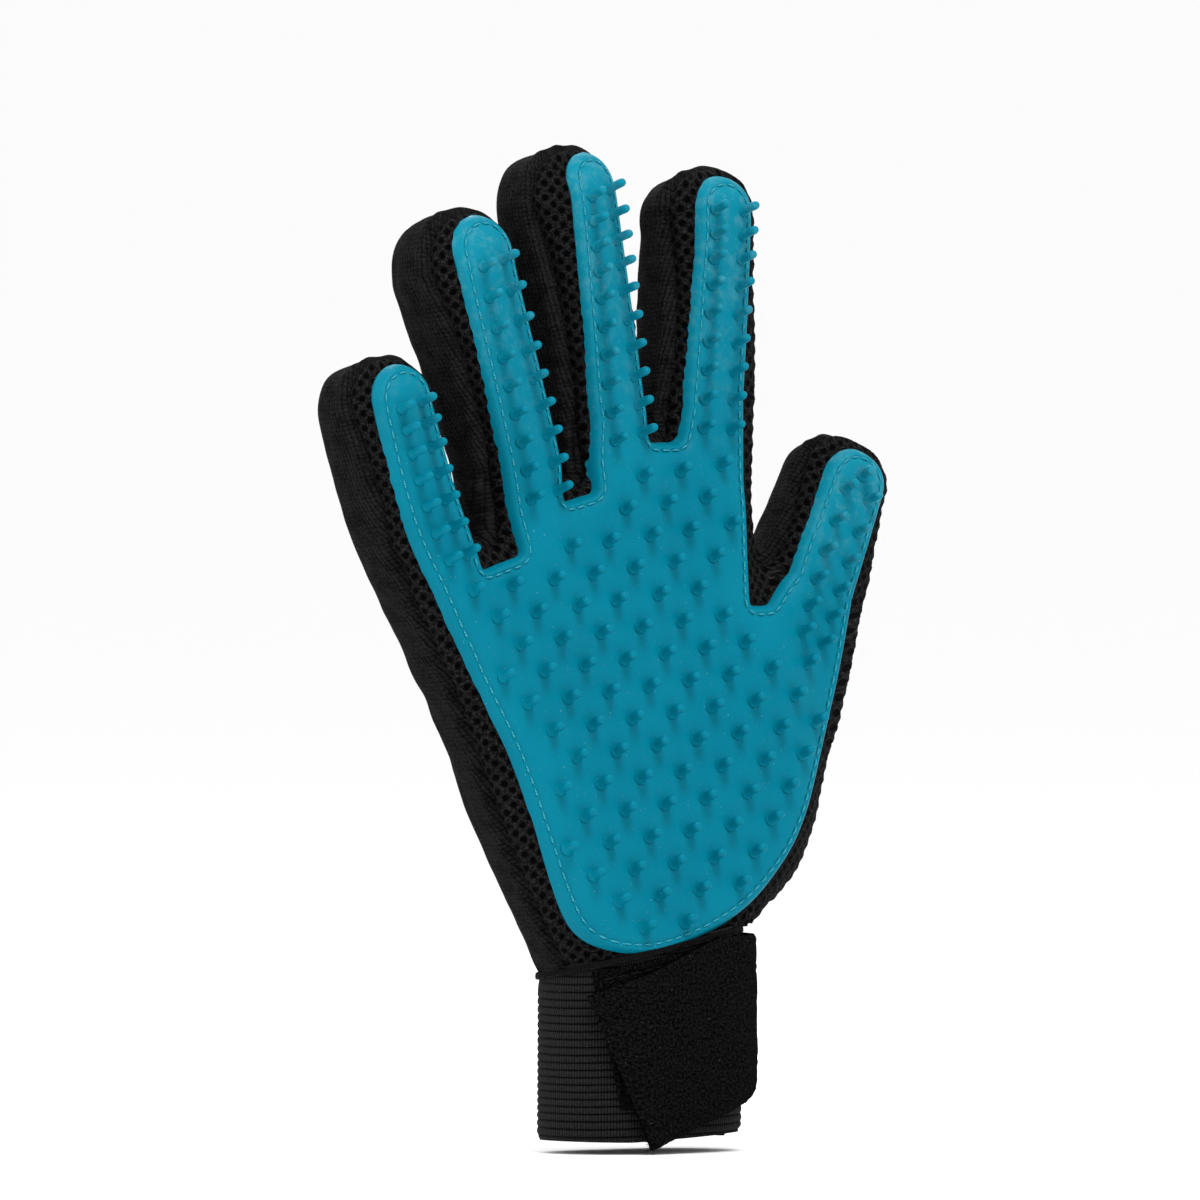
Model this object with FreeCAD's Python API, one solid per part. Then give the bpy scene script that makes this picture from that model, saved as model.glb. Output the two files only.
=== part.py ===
"""A five-finger pet grooming glove, right hand, as if worn: fingers up, palm towards -Y.

Millimetres. +Z runs up from the wrist, +X towards the thumb, -Y out of the palm. The origin is the
centre of the cuff's mouth, where the hand goes in. Fabric is 1.6 mm thick and the glove is hollow.
The hand is modelled upright in its own frame, then set a few degrees off the cuff's axis.
Each digit folds at a base line and a middle line. The fold axes lie in front of the rubber pad,
between rows of nubs, so folding opens the back of the finger and nothing meets on the palm side.
"""

import FreeCAD
import Part

import math
import os

V = FreeCAD.Vector

# Driving dimensions
FABRIC = 1.6  # thickness of the sewn fabric walls
PAD = 2.0  # thickness of the moulded rubber pad
SEAM_Y = -3.5  # the mesh front and the knit back meet on this plane
FOLD_GAP = 0.5  # clear space between two pieces at a fold line
FOLD_OUT = 2.5  # the fold axis stands this far in front of the pad
NUB_R, NUB_FOOT_R, NUB_FOOT = 1.15, 1.8, 1.0  # shank and foot radius, height of the flared foot
NUB_ROOT = 1.4  # depth that a nub is rooted in the pad
NUB_FINGER, NUB_PALM = 5.4, 4.4  # height above the pad
NUB_PITCH = 6.9  # along a finger
PALM_PITCH_X, PALM_PITCH_Z = 12.0, 7.2  # the palm's staggered nubs
PALM_FIRST_ROW = 52.0
NUB_CLEAR, NUB_MARGIN = 5.2, 4.6  # least distance from a palm nub to a finger's nub, and to the pad's edge
NUB_SIDE = 5.0  # no palm nub stands nearer than this to the palm's side, where the pad turns away
STUB_ROWS = {"little": 2, "ring": 2, "middle": 2, "index": 2, "thumb": 3}  # finger rows below the base folds
PAD_BELOW_TIP = 3.5  # a finger's pad ends this far below the top of its tip
FRONT = 12.0  # every digit's fabric front is this far from its axis, and deeper sections grow backwards

WRIST_Z = 40.0
HAND_TURN = 7.0  # degrees that the hand is set off the cuff's axis
HAND_TURN_AXIS = V(-math.sin(math.radians(35)), -math.cos(math.radians(35)), 0)
HAND_SHIFT = 2.5  # the wrist's middle is this far to the thumb side of the cuff's

CUFF_A, CUFF_B = 26.5, 17.2  # the cuff's outer half-width and half-depth
CUFF_WALL = 2.0
CUFF_TOP = 45.5  # height of the wrist seam on the cuff's axis
CUFF_SLANT = 12.5  # degrees that the seam rises towards the thumb side
TAPE_H, TAPE_T = 3.2, 0.9  # the tape over the wrist seam
PATCH_T = 1.0  # the soft loop patch and the hooks that grip it
PATCH_LEFT, PATCH_RIGHT = -24.0, 16.0  # where its sides are, round from the front's middle
PATCH_LOW = 14.0  # its lower edge; it reaches up to the tape
STRAP_OPEN = 2.25  # inner face of the strap, outside the cuff
STRAP_T = 1.5
# The closed strap laid flat: distance round from the front's middle, and height
STRAP_END = [(-24.5, 35.6), (-10.6, -1.7)]
STRAP_RISE_LOW, STRAP_RISE_TOP = 0.385, 0.45  # slopes of its two long edges
STRAP_HIGH = 49.5  # the upper edge levels off here, under the hand

# Palm sections in the hand's frame: height, left edge, right edge, half-depth
PALM = [
    (26, -28.0, 23.5, 17.4),
    (38, -28.2, 24.5, 17.4),
    (48, -30.0, 30.0, 16.8),
    (60, -35.0, 42.0, 15.0),
    (75, -41.0, 48.5, 14.0),
    (90, -45.8, 48.5, 13.5),
    (105, -50.2, 48.0, 13.0),
    (120, -55.2, 46.5, 12.8),
    (135, -61.0, 43.0, 12.4),
    (150, -66.0, 43.0, 12.0),
    (178, -68.0, 44.0, 12.0),
]
# The palm ends in the crotches between the fingers: x, z
PALM_TOP = [(90, 137), (46, 137), (41, 150), (20, 173), (-8, 162.5), (-36.5, 150), (-90, 130)]

# Digits, each in its own upright frame: stations of height, centre x, half-width and half-depth; the
# top of the tip; the two fold lines; the pad as its half-width at the base fold and at the tip, then its
# shift towards the thumb side at both; the nubs' half-spacing at the base fold and at the tip, how much
# higher the thumb side's nubs stand, and where their rows end; and where the frame's origin stands in the
# hand, with its lean.
DIGITS = {
    "little": {
        "stations": [(128, -45.6, 13.6, 12), (151, -53, 14.2, 12), (163, -56, 14.2, 12.2),
                     (186, -59.2, 13.2, 12.6)],
        "top": 198.0, "folds": (157.0, 176.5), "pad": (9.0, 8.6, 0.2, 0.6),
        "nubs": (2.8, 3.0, 0.5, 187.0), "foot": (0, 0), "lean": 0.0,
    },
    "ring": {
        "stations": [(128, -21, 12.8, 12), (170, -23.8, 12.8, 12), (188, -26.3, 14.2, 13),
                     (215, -30.2, 15.2, 14.7)],
        "top": 231.0, "folds": (169.0, 196.6), "pad": (7.4, 8.8, 1.8, 1.0),
        "nubs": (4.0, 3.1, 0.5, 219.5), "foot": (0, 0), "lean": 0.0,
    },
    "middle": {
        "stations": [(128, 5.2, 12.8, 12), (167, 4.2, 12.8, 12), (191, 3.4, 13.8, 13), (227, 1.6, 14.6, 14)],
        "top": 242.6, "folds": (180.0, 207.6), "pad": (8.2, 7.6, 0.2, 3.2),
        "nubs": (4.0, 3.0, 0.5, 232.0), "foot": (0, 0), "lean": 0.0,
    },
    "index": {
        "stations": [(128, 26.5, 14.5, 12), (165, 32, 15, 12), (179, 35.1, 15.5, 12),
                     (220, 42.4, 14.0, 12.8)],
        "top": 232.5, "folds": (179.0, 206.0), "pad": (8.4, 8.2, -2.2, 0.2),
        "nubs": (4.0, 4.0, -0.6, 223.5), "foot": (0, 0), "lean": 0.0,
    },
    "thumb": {
        "stations": [(-30, 0, 19, 12.5), (0, 0.5, 19, 13), (20, 0.5, 17.4, 12.8), (35, 0.2, 15.4, 12),
                     (60, 0, 12.8, 11)],
        "top": 70.5, "folds": (35.0, 51.0), "pad": (9.3, 8.7, -0.8, 0.0),
        "nubs": (3.6, 3.6, 0.0, 60.0), "foot": (42, 100), "lean": 30.0,
    },
}
DOME = (0.0, 0.35, 0.6, 0.8, 0.92, 0.985)  # shares of a fingertip's dome height


def stadium(z, xc, a, b, yc=0.0):
    """A flat-sided oval: two straight runs joined by half circles of radius b."""
    f = max(a - b, 0.4)
    edges = [
        Part.LineSegment(V(xc - f, yc - b, z), V(xc + f, yc - b, z)),
        Part.Arc(V(xc + f, yc - b, z), V(xc + f + b, yc, z), V(xc + f, yc + b, z)),
        Part.LineSegment(V(xc + f, yc + b, z), V(xc - f, yc + b, z)),
        Part.Arc(V(xc - f, yc + b, z), V(xc - f - b, yc, z), V(xc - f, yc - b, z)),
    ]
    return Part.Wire([e.toShape() for e in edges])


PALM_STATIONS = [(z, (left + right) / 2, (right - left) / 2, depth) for z, left, right, depth in PALM]


def between(stations, z):
    """The section at height z, as (centre x, half-width, half-depth)."""
    lower = max((s for s in stations if s[0] <= z), default=stations[0])
    upper = min((s for s in stations if s[0] > z), default=stations[-1])
    t = 0 if upper[0] == lower[0] else (z - lower[0]) / (upper[0] - lower[0])
    return [p + (q - p) * t for p, q in zip(lower[1:], upper[1:])]


def loft(sections):
    return Part.makeLoft([stadium(*s) for s in sections], True, True)


def digit_section(digit, z, grow):
    """One section of a digit, as stadium takes it. Its front stays FRONT from the digit's axis."""
    xc, a, b = between(digit["stations"], z)
    return z, xc, a + grow, b + grow, b - FRONT


def digit_loft(digit, grow, z0, z1=None):
    """The digit's solid from z0 to z1, or to its domed tip, with its walls moved out by grow."""
    stations = digit["stations"]
    end = stations[-1][0] if z1 is None else z1
    heights = [z0] + [s[0] for s in stations if z0 + 4 < s[0] < end - 4]
    if z1 is not None:
        heights.append(z1)
    sections = [digit_section(digit, z, grow) for z in heights]
    if z1 is None:
        z, xc, a, b, yc = digit_section(digit, end, grow)
        rise = digit["top"] + grow - end
        for t in DOME:
            k = math.sqrt(1 - t * t)
            sections.append((end + rise * t, xc, a * k, b * k, yc))
    return loft(sections)


def place_digit(shape, digit):
    """From the digit's own upright frame to the hand's frame."""
    x, z = digit["foot"]
    shape = shape.copy()
    shape.rotate(V(0, 0, 0), V(0, 1, 0), digit["lean"])
    shape.translate(V(x, 0, z))
    return shape


def set_hand(shape):
    """From the hand's frame to the part's frame."""
    shape = shape.copy()
    shape.rotate(V(0, 0, WRIST_Z), HAND_TURN_AXIS, HAND_TURN)
    shape.translate(V(HAND_SHIFT, 0, 0))
    return shape


def prism(points, y0, y1):
    """A polygon in x and z, drawn out from y0 to y1."""
    loop = [V(x, y0, z) for x, z in points]
    return Part.Face(Part.makePolygon(loop + loop[:1])).extrude(V(0, y1 - y0, 0))


def half_space(front):
    """A block on the palm side of the seam plane, or on the back side."""
    low, high = (-60, SEAM_Y) if front else (SEAM_Y, 60)
    return Part.makeBox(400, high - low, 500, V(-200, low, -150))


def nub(height):
    """One rubber nub along +Z: a flared foot, a shank and a round tip, rooted inside the pad."""
    top = height - NUB_R
    profile = [(0, -NUB_ROOT), (NUB_FOOT_R, -NUB_ROOT), (NUB_FOOT_R, 0), (NUB_R, NUB_FOOT), (NUB_R, top)]
    points = [V(r, 0, z) for r, z in profile]
    edges = [Part.LineSegment(p, q).toShape() for p, q in zip(points, points[1:])]
    half = math.sqrt(0.5) * NUB_R
    edges.append(Part.Arc(points[-1], V(half, 0, top + half), V(0, 0, height)).toShape())
    edges.append(Part.LineSegment(V(0, 0, height), points[0]).toShape())
    return Part.Face(Part.Wire(edges)).revolve(V(0, 0, 0), V(0, 0, 1), 360)


def nub_on(section, x, height):
    """A nub standing square on the pad's outer face, over a section as stadium takes it."""
    z, xc, a, b, yc = section
    f = max(a - b, 0.4)
    r = b + PAD
    side = min(max(x - xc, -f), f)
    lean = math.asin(max(-0.95, min(0.95, (x - xc - side) / r)))
    foot = V(xc + side + r * math.sin(lean), yc - r * math.cos(lean), z)
    out = V(math.sin(lean), -math.cos(lean), 0)
    shape = nub(height)
    shape.Placement = FreeCAD.Placement(foot, FreeCAD.Rotation(V(0, 0, 1), out))
    return shape


def pad_at(digit, z):
    """The middle line of a digit's pad and its half-width at height z."""
    half_base, half_tip, shift_base, shift_tip = digit["pad"]
    base, tip = digit["folds"][0], digit["stations"][-1][0]
    t = min(max((z - base) / (tip - base), 0), 1)
    middle = between(digit["stations"], z)[0] + shift_base + (shift_tip - shift_base) * t
    return middle, half_base + (half_tip - half_base) * t


def nub_row(digit, z):
    """The two nubs of one row across a digit's pad."""
    at_base, at_tip, rise, end = digit["nubs"]
    base = digit["folds"][0]
    spread = at_base + (at_tip - at_base) * min(max((z - base) / (end - base), 0), 1)
    made = []
    for side in (-1, 1):
        height = z + side * rise
        middle = pad_at(digit, height)[0]
        made.append(nub_on(digit_section(digit, height, 0), middle + side * spread, NUB_FINGER))
    return made


def finger_nubs(digit, z0, z1):
    """Two columns of nubs, in rows spread evenly from z0 to z1."""
    rows = max(1, round((z1 - z0) / NUB_PITCH))
    step = (z1 - z0) / rows
    return [nub for i in range(rows) for nub in nub_row(digit, z0 + (i + 0.5) * step)]


def pad_edges(digit, z):
    """The right and left edges of a digit's pad at height z."""
    middle, half = pad_at(digit, z)
    return middle + half, middle - half


def pad_outline(digit, z0, z1=None):
    """The finger pad's outline in x and z, straight at a fold and rounded at the tip."""
    end = digit["top"] - PAD_BELOW_TIP - digit["pad"][1] if z1 is None else z1
    heights = [z0] + [s[0] for s in digit["stations"] if z0 < s[0] < end] + [end]
    right = [(pad_edges(digit, z)[0], z) for z in heights]
    left = [(pad_edges(digit, z)[1], z) for z in reversed(heights)]
    cap = []
    if z1 is None:
        middle, half = pad_at(digit, end)
        turns = [math.pi * i / 12 for i in range(1, 12)]
        cap = [(middle + half * math.cos(t), end + half * math.sin(t)) for t in turns]
    return right + cap + left


def rubber(skin, core, outline, nubs):
    """The pad: the layer between core and skin inside the outline, fused with its nubs."""
    return skin.common(prism(outline, -60, SEAM_Y - 1.0)).multiFuse(nubs).cut(core)


def digit_segment(name, part):
    """The pieces of one moving length of a digit: mesh front, knit back and rubber pad."""
    digit = DIGITS[name]
    base, mid = digit["folds"]
    z0 = (base if part == "base" else mid) + FOLD_GAP / 2
    z1 = mid - FOLD_GAP / 2 if part == "base" else None
    outer = digit_loft(digit, 0, z0, z1)
    inner = digit_loft(digit, -FABRIC, z0 - 3, None if z1 is None else z1 + 3)
    wall = outer.cut(inner)
    skin = digit_loft(digit, PAD, z0, z1)
    outline = pad_outline(digit, z0, z1)
    nub_top = digit["nubs"][3] if z1 is None else z1
    nubs = finger_nubs(digit, z0 - FOLD_GAP / 2, nub_top + FOLD_GAP / 2)
    made = {
        f"{name}_{part}_mesh_front": wall.common(half_space(True)),
        f"{name}_{part}_knit_back": wall.common(half_space(False)),
        f"{name}_{part}_rubber_pad": rubber(skin, outer, outline, nubs),
    }
    return {node: place_digit(shape, digit) for node, shape in made.items()}


def hand_body(grow, over=0.0):
    """The palm with a stub for each digit up to its base fold. Each open end is longer by over."""
    top = [(x, z + grow) for x, z in PALM_TOP]
    outline = [(-90, 20), (90, 20)] + top
    sections = [(z, xc, a + grow, b + grow) for z, xc, a, b in PALM_STATIONS]
    if over:
        z, xc, a, b = sections[0]
        sections.insert(0, (z - over, xc, a, b))
    body = loft(sections).common(prism(outline, -40, 40))
    for digit in DIGITS.values():
        end = digit["folds"][0] - FOLD_GAP / 2 + over
        stub = place_digit(digit_loft(digit, grow, digit["stations"][0][0], end), digit)
        body = body.fuse(stub)
    return body


def palm_pad_outline():
    """The palm's part of the pad in x and z, with a strip up each digit to its base fold."""
    left = [(-57, 138), (-53, 127), (-47, 112), (-41, 97), (-36, 77), (-31.8, 61)]
    heel = [(-27.5, 51.5), (-19, 46.8), (-7, 45.6), (11, 49), (28, 56), (40, 66.5), (48, 79), (57.5, 99)]
    return left + heel


def strip(digit):
    """Corners of a digit's pad strip at its base fold, right then left, in the hand's frame."""
    z = digit["folds"][0] - FOLD_GAP / 2
    turn = math.radians(digit["lean"])
    x0, z0 = digit["foot"]
    c, s = math.cos(turn), math.sin(turn)
    return [(x0 + x * c + z * s, z0 + z * c - x * s) for x in pad_edges(digit, z)]


def palm_outline():
    crotches = {"thumb": [(40.2, 124.4), (33.7, 125)], "index": [(20.8, 166.6), (11.3, 167.6)],
                "middle": [(-6.5, 157.3), (-16.6, 156)], "ring": [(-32, 144.8), (-43.6, 142.5)],
                "little": []}
    points = palm_pad_outline()
    for name in ("thumb", "index", "middle", "ring", "little"):
        points += strip(DIGITS[name]) + crotches[name]
    return points


def inside(outline, x, z):
    """True if the point lies in the polygon."""
    hit = False
    for (x0, z0), (x1, z1) in zip(outline, outline[1:] + outline[:1]):
        if (z0 > z) != (z1 > z) and x < x0 + (z - z0) * (x1 - x0) / (z1 - z0):
            hit = not hit
    return hit


def clear_inside(outline, x, z, margin):
    """True if the point and a ring of points round it all lie in the polygon."""
    turns = [math.pi * i / 6 for i in range(12)]
    ring = [(x + margin * math.cos(t), z + margin * math.sin(t)) for t in turns]
    return all(inside(outline, *p) for p in [(x, z)] + ring)


def palm_nubs(outline):
    """The palm's staggered nubs, and two columns up each finger's stub to its fold."""
    made, taken = [], []
    for name, digit in DIGITS.items():
        for i in range(STUB_ROWS[name]):
            z = digit["folds"][0] - (i + 0.5) * NUB_PITCH
            for shape in nub_row(digit, z):
                made.append(place_digit(shape, digit))
                centre = made[-1].BoundBox.Center
                taken.append((centre.x, centre.z))
    for j in range(20):
        z = PALM_FIRST_ROW + j * PALM_PITCH_Z
        xc, a, b = between(PALM_STATIONS, z)
        for i in range(-7, 8):
            x = (i + 0.5 * (j % 2)) * PALM_PITCH_X
            near = min(math.hypot(x - p, z - q) for p, q in taken)
            on_front = abs(x - xc) < a - NUB_SIDE
            if on_front and near > NUB_CLEAR and clear_inside(outline, x, z, NUB_MARGIN):
                made.append(nub_on((z, xc, a, b, 0.0), x, NUB_PALM))
    return made


def hand_pieces():
    outer = hand_body(0)
    inner = hand_body(-FABRIC, over=3.0)
    skin = hand_body(PAD)
    wall = outer.cut(inner)
    outline = palm_outline()
    pad = rubber(skin, outer, outline, palm_nubs(outline))
    return {
        "palm_mesh_front": wall.common(half_space(True)),
        "hand_knit_back": wall.common(half_space(False)),
        "palm_rubber_pad": pad,
    }


def ring_band(out0, out1, z0, z1):
    """An upright oval band round the cuff, from out0 to out1 outside the cuff's face."""
    bands = []
    for out in (out0, out1):
        face = Part.Face(stadium(z0, 0, CUFF_A + out, CUFF_B + out))
        bands.append(face.extrude(V(0, 0, z1 - z0)))
    return bands[1].cut(bands[0])


def seam_block(z0, z1):
    """A block that follows the slanted wrist seam, from z0 to z1 above it."""
    block = Part.makeBox(300, 200, z1 - z0, V(-150, -100, CUFF_TOP + z0))
    block.rotate(V(0, 0, CUFF_TOP), HAND_TURN_AXIS, CUFF_SLANT)
    return block


def round_x(s, out):
    """The x of a point s round from the front's middle, on the oval that stands out from the cuff."""
    flat, r = CUFF_A - CUFF_B, CUFF_B + out
    turn = min(max((abs(s) - flat) / r, 0), math.pi / 2)
    x = min(abs(s), flat) + r * math.sin(turn)
    return math.copysign(x, s)


def strap_flat():
    """The strap's outline laid flat, from its free end to the line where it is sewn down."""
    (s0, top), (s1, low) = STRAP_END
    side = CUFF_A - CUFF_B + (CUFF_B + STRAP_OPEN) * math.pi / 2
    steps = [i / 8 for i in range(9)]
    lower = [(s1 + (side - s1) * t, low + STRAP_RISE_LOW * (side - s1) * t) for t in steps]
    upper = [(s0 + (side - s0) * t, min(top + STRAP_RISE_TOP * (side - s0) * t, STRAP_HIGH)) for t in steps]
    return lower + upper[::-1]


def wrapped(outline, out):
    """A flat outline taken round the cuff's front, as x and z."""
    return [(round_x(s, out), z) for s, z in outline]


def wrist_pieces():
    cuff = ring_band(-CUFF_WALL, 0, 0, 70).common(seam_block(-100, 0))
    tape = ring_band(0.05, TAPE_T, 20, 70).common(seam_block(-TAPE_H, 0))
    left, right = round_x(PATCH_LEFT, PATCH_T), round_x(PATCH_RIGHT, PATCH_T)
    patch_flat = [(left, PATCH_LOW), (right, PATCH_LOW), (right, 60), (left, 60)]
    patch = ring_band(0.05, PATCH_T, 0, 60).common(prism(patch_flat, -60, 0))
    patch = patch.common(seam_block(-100, -TAPE_H - 0.2))
    flat = strap_flat()
    low, high = flat[8], flat[9]
    outer = ring_band(STRAP_OPEN, STRAP_OPEN + STRAP_T, -10, 80)
    strap = outer.common(prism(wrapped(flat, STRAP_OPEN)[:8] + [(45, low[1]), (45, high[1])]
                               + wrapped(flat, STRAP_OPEN)[10:], -60, -FOLD_GAP / 2))
    anchor_flat = [(45, low[1]), (45, high[1]), (28, 47), (5, 41.5), (-6, 39), (-6, 8), (5, 9)]
    anchor = outer.common(prism(anchor_flat, FOLD_GAP / 2, 60))
    hook_flat = [(-9.2, 1.5), (-21.6, 34.5), (4.0, 40.5), (16.0, 11.5)]
    hook = ring_band(PATCH_T + 0.1, STRAP_OPEN, -10, 80).common(prism(wrapped(hook_flat, STRAP_OPEN), -60, 0))
    return {
        "elastic_cuff": cuff,
        "wrist_seam_tape": tape,
        "cuff_loop_patch": patch,
        "strap_anchor": anchor,
        "wrist_strap": strap,
        "strap_hook_patch": hook,
    }


def build():
    hand = hand_pieces()
    for name in DIGITS:
        for part in ("base", "tip"):
            hand.update(digit_segment(name, part))
    made = {node: set_hand(shape) for node, shape in hand.items()}
    for node in ("palm_mesh_front", "hand_knit_back", "palm_rubber_pad"):
        made[node] = made[node].common(seam_block(0, 250))
    made.update(wrist_pieces())
    return made


def main():
    os.makedirs("parts", exist_ok=True)
    for node, shape in build().items():
        print(f"{node}: {len(shape.Solids)} solids, {shape.Volume:.0f} mm3, valid {shape.isValid()}")
        shape.exportStep(f"parts/{node}.step")


main()
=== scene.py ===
import math

import bmesh
import bpy
import numpy as np
from mathutils import Matrix, Vector, geometry


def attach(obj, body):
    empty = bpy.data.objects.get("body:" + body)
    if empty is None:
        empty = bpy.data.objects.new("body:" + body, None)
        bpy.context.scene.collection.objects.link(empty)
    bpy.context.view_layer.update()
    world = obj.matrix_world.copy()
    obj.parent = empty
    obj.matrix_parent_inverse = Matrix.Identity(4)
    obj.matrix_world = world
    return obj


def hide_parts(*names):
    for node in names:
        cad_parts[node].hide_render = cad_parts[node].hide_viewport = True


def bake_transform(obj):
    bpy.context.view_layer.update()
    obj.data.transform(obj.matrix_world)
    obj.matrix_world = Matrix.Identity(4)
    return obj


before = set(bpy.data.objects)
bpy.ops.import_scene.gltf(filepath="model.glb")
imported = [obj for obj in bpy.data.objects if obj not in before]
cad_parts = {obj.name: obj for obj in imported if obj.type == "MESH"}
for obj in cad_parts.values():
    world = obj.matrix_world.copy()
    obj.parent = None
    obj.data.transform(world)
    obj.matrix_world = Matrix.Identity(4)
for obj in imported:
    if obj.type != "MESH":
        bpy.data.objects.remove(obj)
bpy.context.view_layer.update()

# A five-finger pet grooming glove, right hand, upright as if worn. Lengths below are millimetres in
# the glove's frame (+X thumb side, -Y out of the palm, +Z to the fingertips) unless a name says not.
MM = 0.001

# ---------------------------------------------------------------- sizes shared with the CAD model
FABRIC = 1.2  # thickness of the visible fabric walls
SEAM_Y = -4.5  # air mesh in front of the side seam, knit behind it
SWING_PALM, SWING_DIGIT = 2.0, 3.2  # how far the seam swings forward along the palm and the digits
FRONT = 12.0  # every digit's fabric front is this far from its axis
NUB_FINGER, NUB_PALM = 5.8, 4.8  # height of the nubs above the fabric
NUB_PITCH = 6.9  # along a finger
PALM_PITCH_X, PALM_PITCH_Z, PALM_FIRST_ROW = 12.0, 7.2, 52.0
PAD_BELOW_TIP = 3.5  # a finger's pad ends this far below its tip
WRIST_Z, HAND_TURN, HAND_SHIFT = 40.0, 7.0, 2.5
HAND_TURN_AXIS = (-math.sin(math.radians(35)), -math.cos(math.radians(35)), 0)
CUFF_A, CUFF_B, CUFF_WALL, CUFF_TOP, CUFF_SLANT = 26.5, 17.2, 2.0, 45.5, 12.5
STRAP_OPEN, STRAP_T = 2.25, 1.5

# Palm sections: height, left edge, right edge, half-depth
PALM = np.array([
    (22, -27.5, 23.0, 16.6), (38, -28.0, 24.5, 16.8), (48, -30.0, 28.5, 16.4), (60, -35.0, 42.0, 15.0),
    (75, -41.0, 50.5, 14.0), (90, -45.8, 51.0, 13.5), (105, -50.2, 50.0, 13.0), (120, -55.2, 47.0, 12.8),
    (135, -61.0, 43.0, 12.4), (150, -66.0, 43.0, 12.0), (178, -68.0, 44.0, 12.0),
], float)
# The palm ends between the fingers: x, z
CROTCH_LINE = np.array([
    (-90, 128), (-64, 144), (-38, 148), (-9, 159.5), (17, 168), (40, 150), (46, 137), (90, 137),
], float)

# Digits: stations of height, centre x, half-width and half-depth; top of the tip; base and middle fold
# lines; the pad's half-width at the base fold and at the tip, then its shift to the thumb side at both;
# the nubs' half-spacing at both, how much higher the thumb side's stand, and where their rows end; rows
# of nubs below the base fold; the foot and lean of the digit's own frame; and the heights where its
# fabric leaves the palm and where its two lengths join.
DIGITS = {
    "thumb": dict(
        stations=[(-30, 1.2, 20.2, 12.5), (0, 1.8, 20.3, 13), (20, 1.7, 18.6, 12.8), (35, 1.2, 16.4, 12),
                  (60, 0.4, 13.2, 11)],
        top=70.5, folds=(35.0, 51.0), pad=(9.3, 8.7, -1.8, -0.4), nubs=(3.6, 3.6, 0.0, 60.0), rows=3,
        foot=(42, 100), lean=30.0, cuts=(31.0, 43.0)),
    "index": dict(
        stations=[(128, 26.5, 14.5, 12), (165, 32, 15, 12), (179, 35.1, 15.5, 12), (220, 42.4, 14.0, 12.8)],
        top=232.5, folds=(179.0, 206.0), pad=(8.4, 8.2, -2.2, 0.2), nubs=(4.0, 4.0, -0.6, 223.5), rows=2,
        foot=(0, 0), lean=0.0, cuts=(174.5, 192.0)),
    "middle": dict(
        stations=[(128, 5.2, 12.8, 12), (167, 4.2, 12.8, 12), (191, 3.4, 13.6, 13), (227, 1.8, 14.2, 14)],
        top=242.6, folds=(180.0, 207.6), pad=(8.2, 7.6, 0.2, 3.2), nubs=(4.0, 3.0, 0.5, 232.0), rows=2,
        foot=(0, 0), lean=0.0, cuts=(174.5, 194.0)),
    "ring": dict(
        stations=[(128, -21, 12.8, 12), (170, -23.8, 12.8, 12), (188, -26.5, 13.9, 13),
                  (215, -30.4, 14.9, 14.7)],
        top=231.0, folds=(169.0, 196.6), pad=(8.8, 8.8, 0.4, 1.0), nubs=(4.0, 3.1, 0.5, 219.5), rows=2,
        foot=(0, 0), lean=0.0, cuts=(164.5, 183.0)),
    "little": dict(
        stations=[(128, -43, 12.5, 11.5), (151, -53, 14.2, 12), (163, -56, 14.2, 12.8),
                  (186, -59.4, 13.4, 13.4)],
        top=198.0, folds=(157.0, 176.5), pad=(9.0, 8.6, 0.2, 0.6), nubs=(2.8, 3.0, 0.5, 187.0), rows=2,
        foot=(0, 0), lean=0.0, cuts=(152.0, 166.0)),
}
BACK_DROP, BACK_FULL = 2.4, 0.5  # the knit back's tips end lower than the mesh front's, and are squarer
BACK_BLEND = 5.0  # depth behind the seam over which they change
PALM_TOP_ROUND, FINGER_FILLET, THUMB_FILLET = 9.0, 4.0, 8.0  # softness of the joins of palm and digits
# Pad outline away from the digits, as x, z and corner rounding
HEEL = [(-57, 138, 10), (-53, 127, 10), (-47, 112, 10), (-41, 97, 12), (-36, 77, 12), (-31.8, 61, 10),
        (-27.5, 51, 9), (-19, 46.4, 9), (-7, 45.2, 9), (11, 49, 10), (26, 56, 10), (38, 67, 10),
        (46, 79.5, 12), (56.6, 99.5, 14)]
# The pad's edge in the crotch after each digit, and how sharply it turns there
CROTCHES = {"thumb": [(40.2, 124.4), (33.7, 125)], "index": [(20.8, 166.6), (11.3, 167.6)],
            "middle": [(-6.5, 157.3), (-16.6, 156)], "ring": [(-31.2, 144.8), (-43.6, 142.5)], "little": []}
CROTCH_BEND = 1.6
# Pad height over the fabric by distance in from its edge: bevel, rounded lip, stitched groove, field
LIP = np.array([(0, 0.15), (0.2, 0.65), (0.55, 1.15), (0.95, 1.5), (1.4, 1.65), (1.75, 1.52), (2.1, 1.28),
                (2.5, 1.3), (3.0, 1.5), (3.8, 1.6)])
STITCH_IN = 2.1  # the thread's distance in from the pad's edge


# ---------------------------------------------------------------- frames
def turn_matrix(centre, axis, degrees):
    """A turn about an axis through a centre."""
    there = Matrix.Translation(centre)
    return there @ Matrix.Rotation(math.radians(degrees), 4, Vector(axis)) @ there.inverted()


HAND_TILT = turn_matrix((0, 0, WRIST_Z), HAND_TURN_AXIS, HAND_TURN)
TO_GLOVE = np.array(Matrix.Translation((HAND_SHIFT, 0, 0)) @ HAND_TILT)


def to_glove(points):
    """From the hand's own upright frame, in millimetres, to the glove's frame, in metres."""
    return (points @ TO_GLOVE[:3, :3].T + TO_GLOVE[:3, 3]) * MM


def turn_to_glove(vectors):
    """Directions from the hand's own frame to the glove's."""
    return vectors @ TO_GLOVE[:3, :3].T


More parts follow.
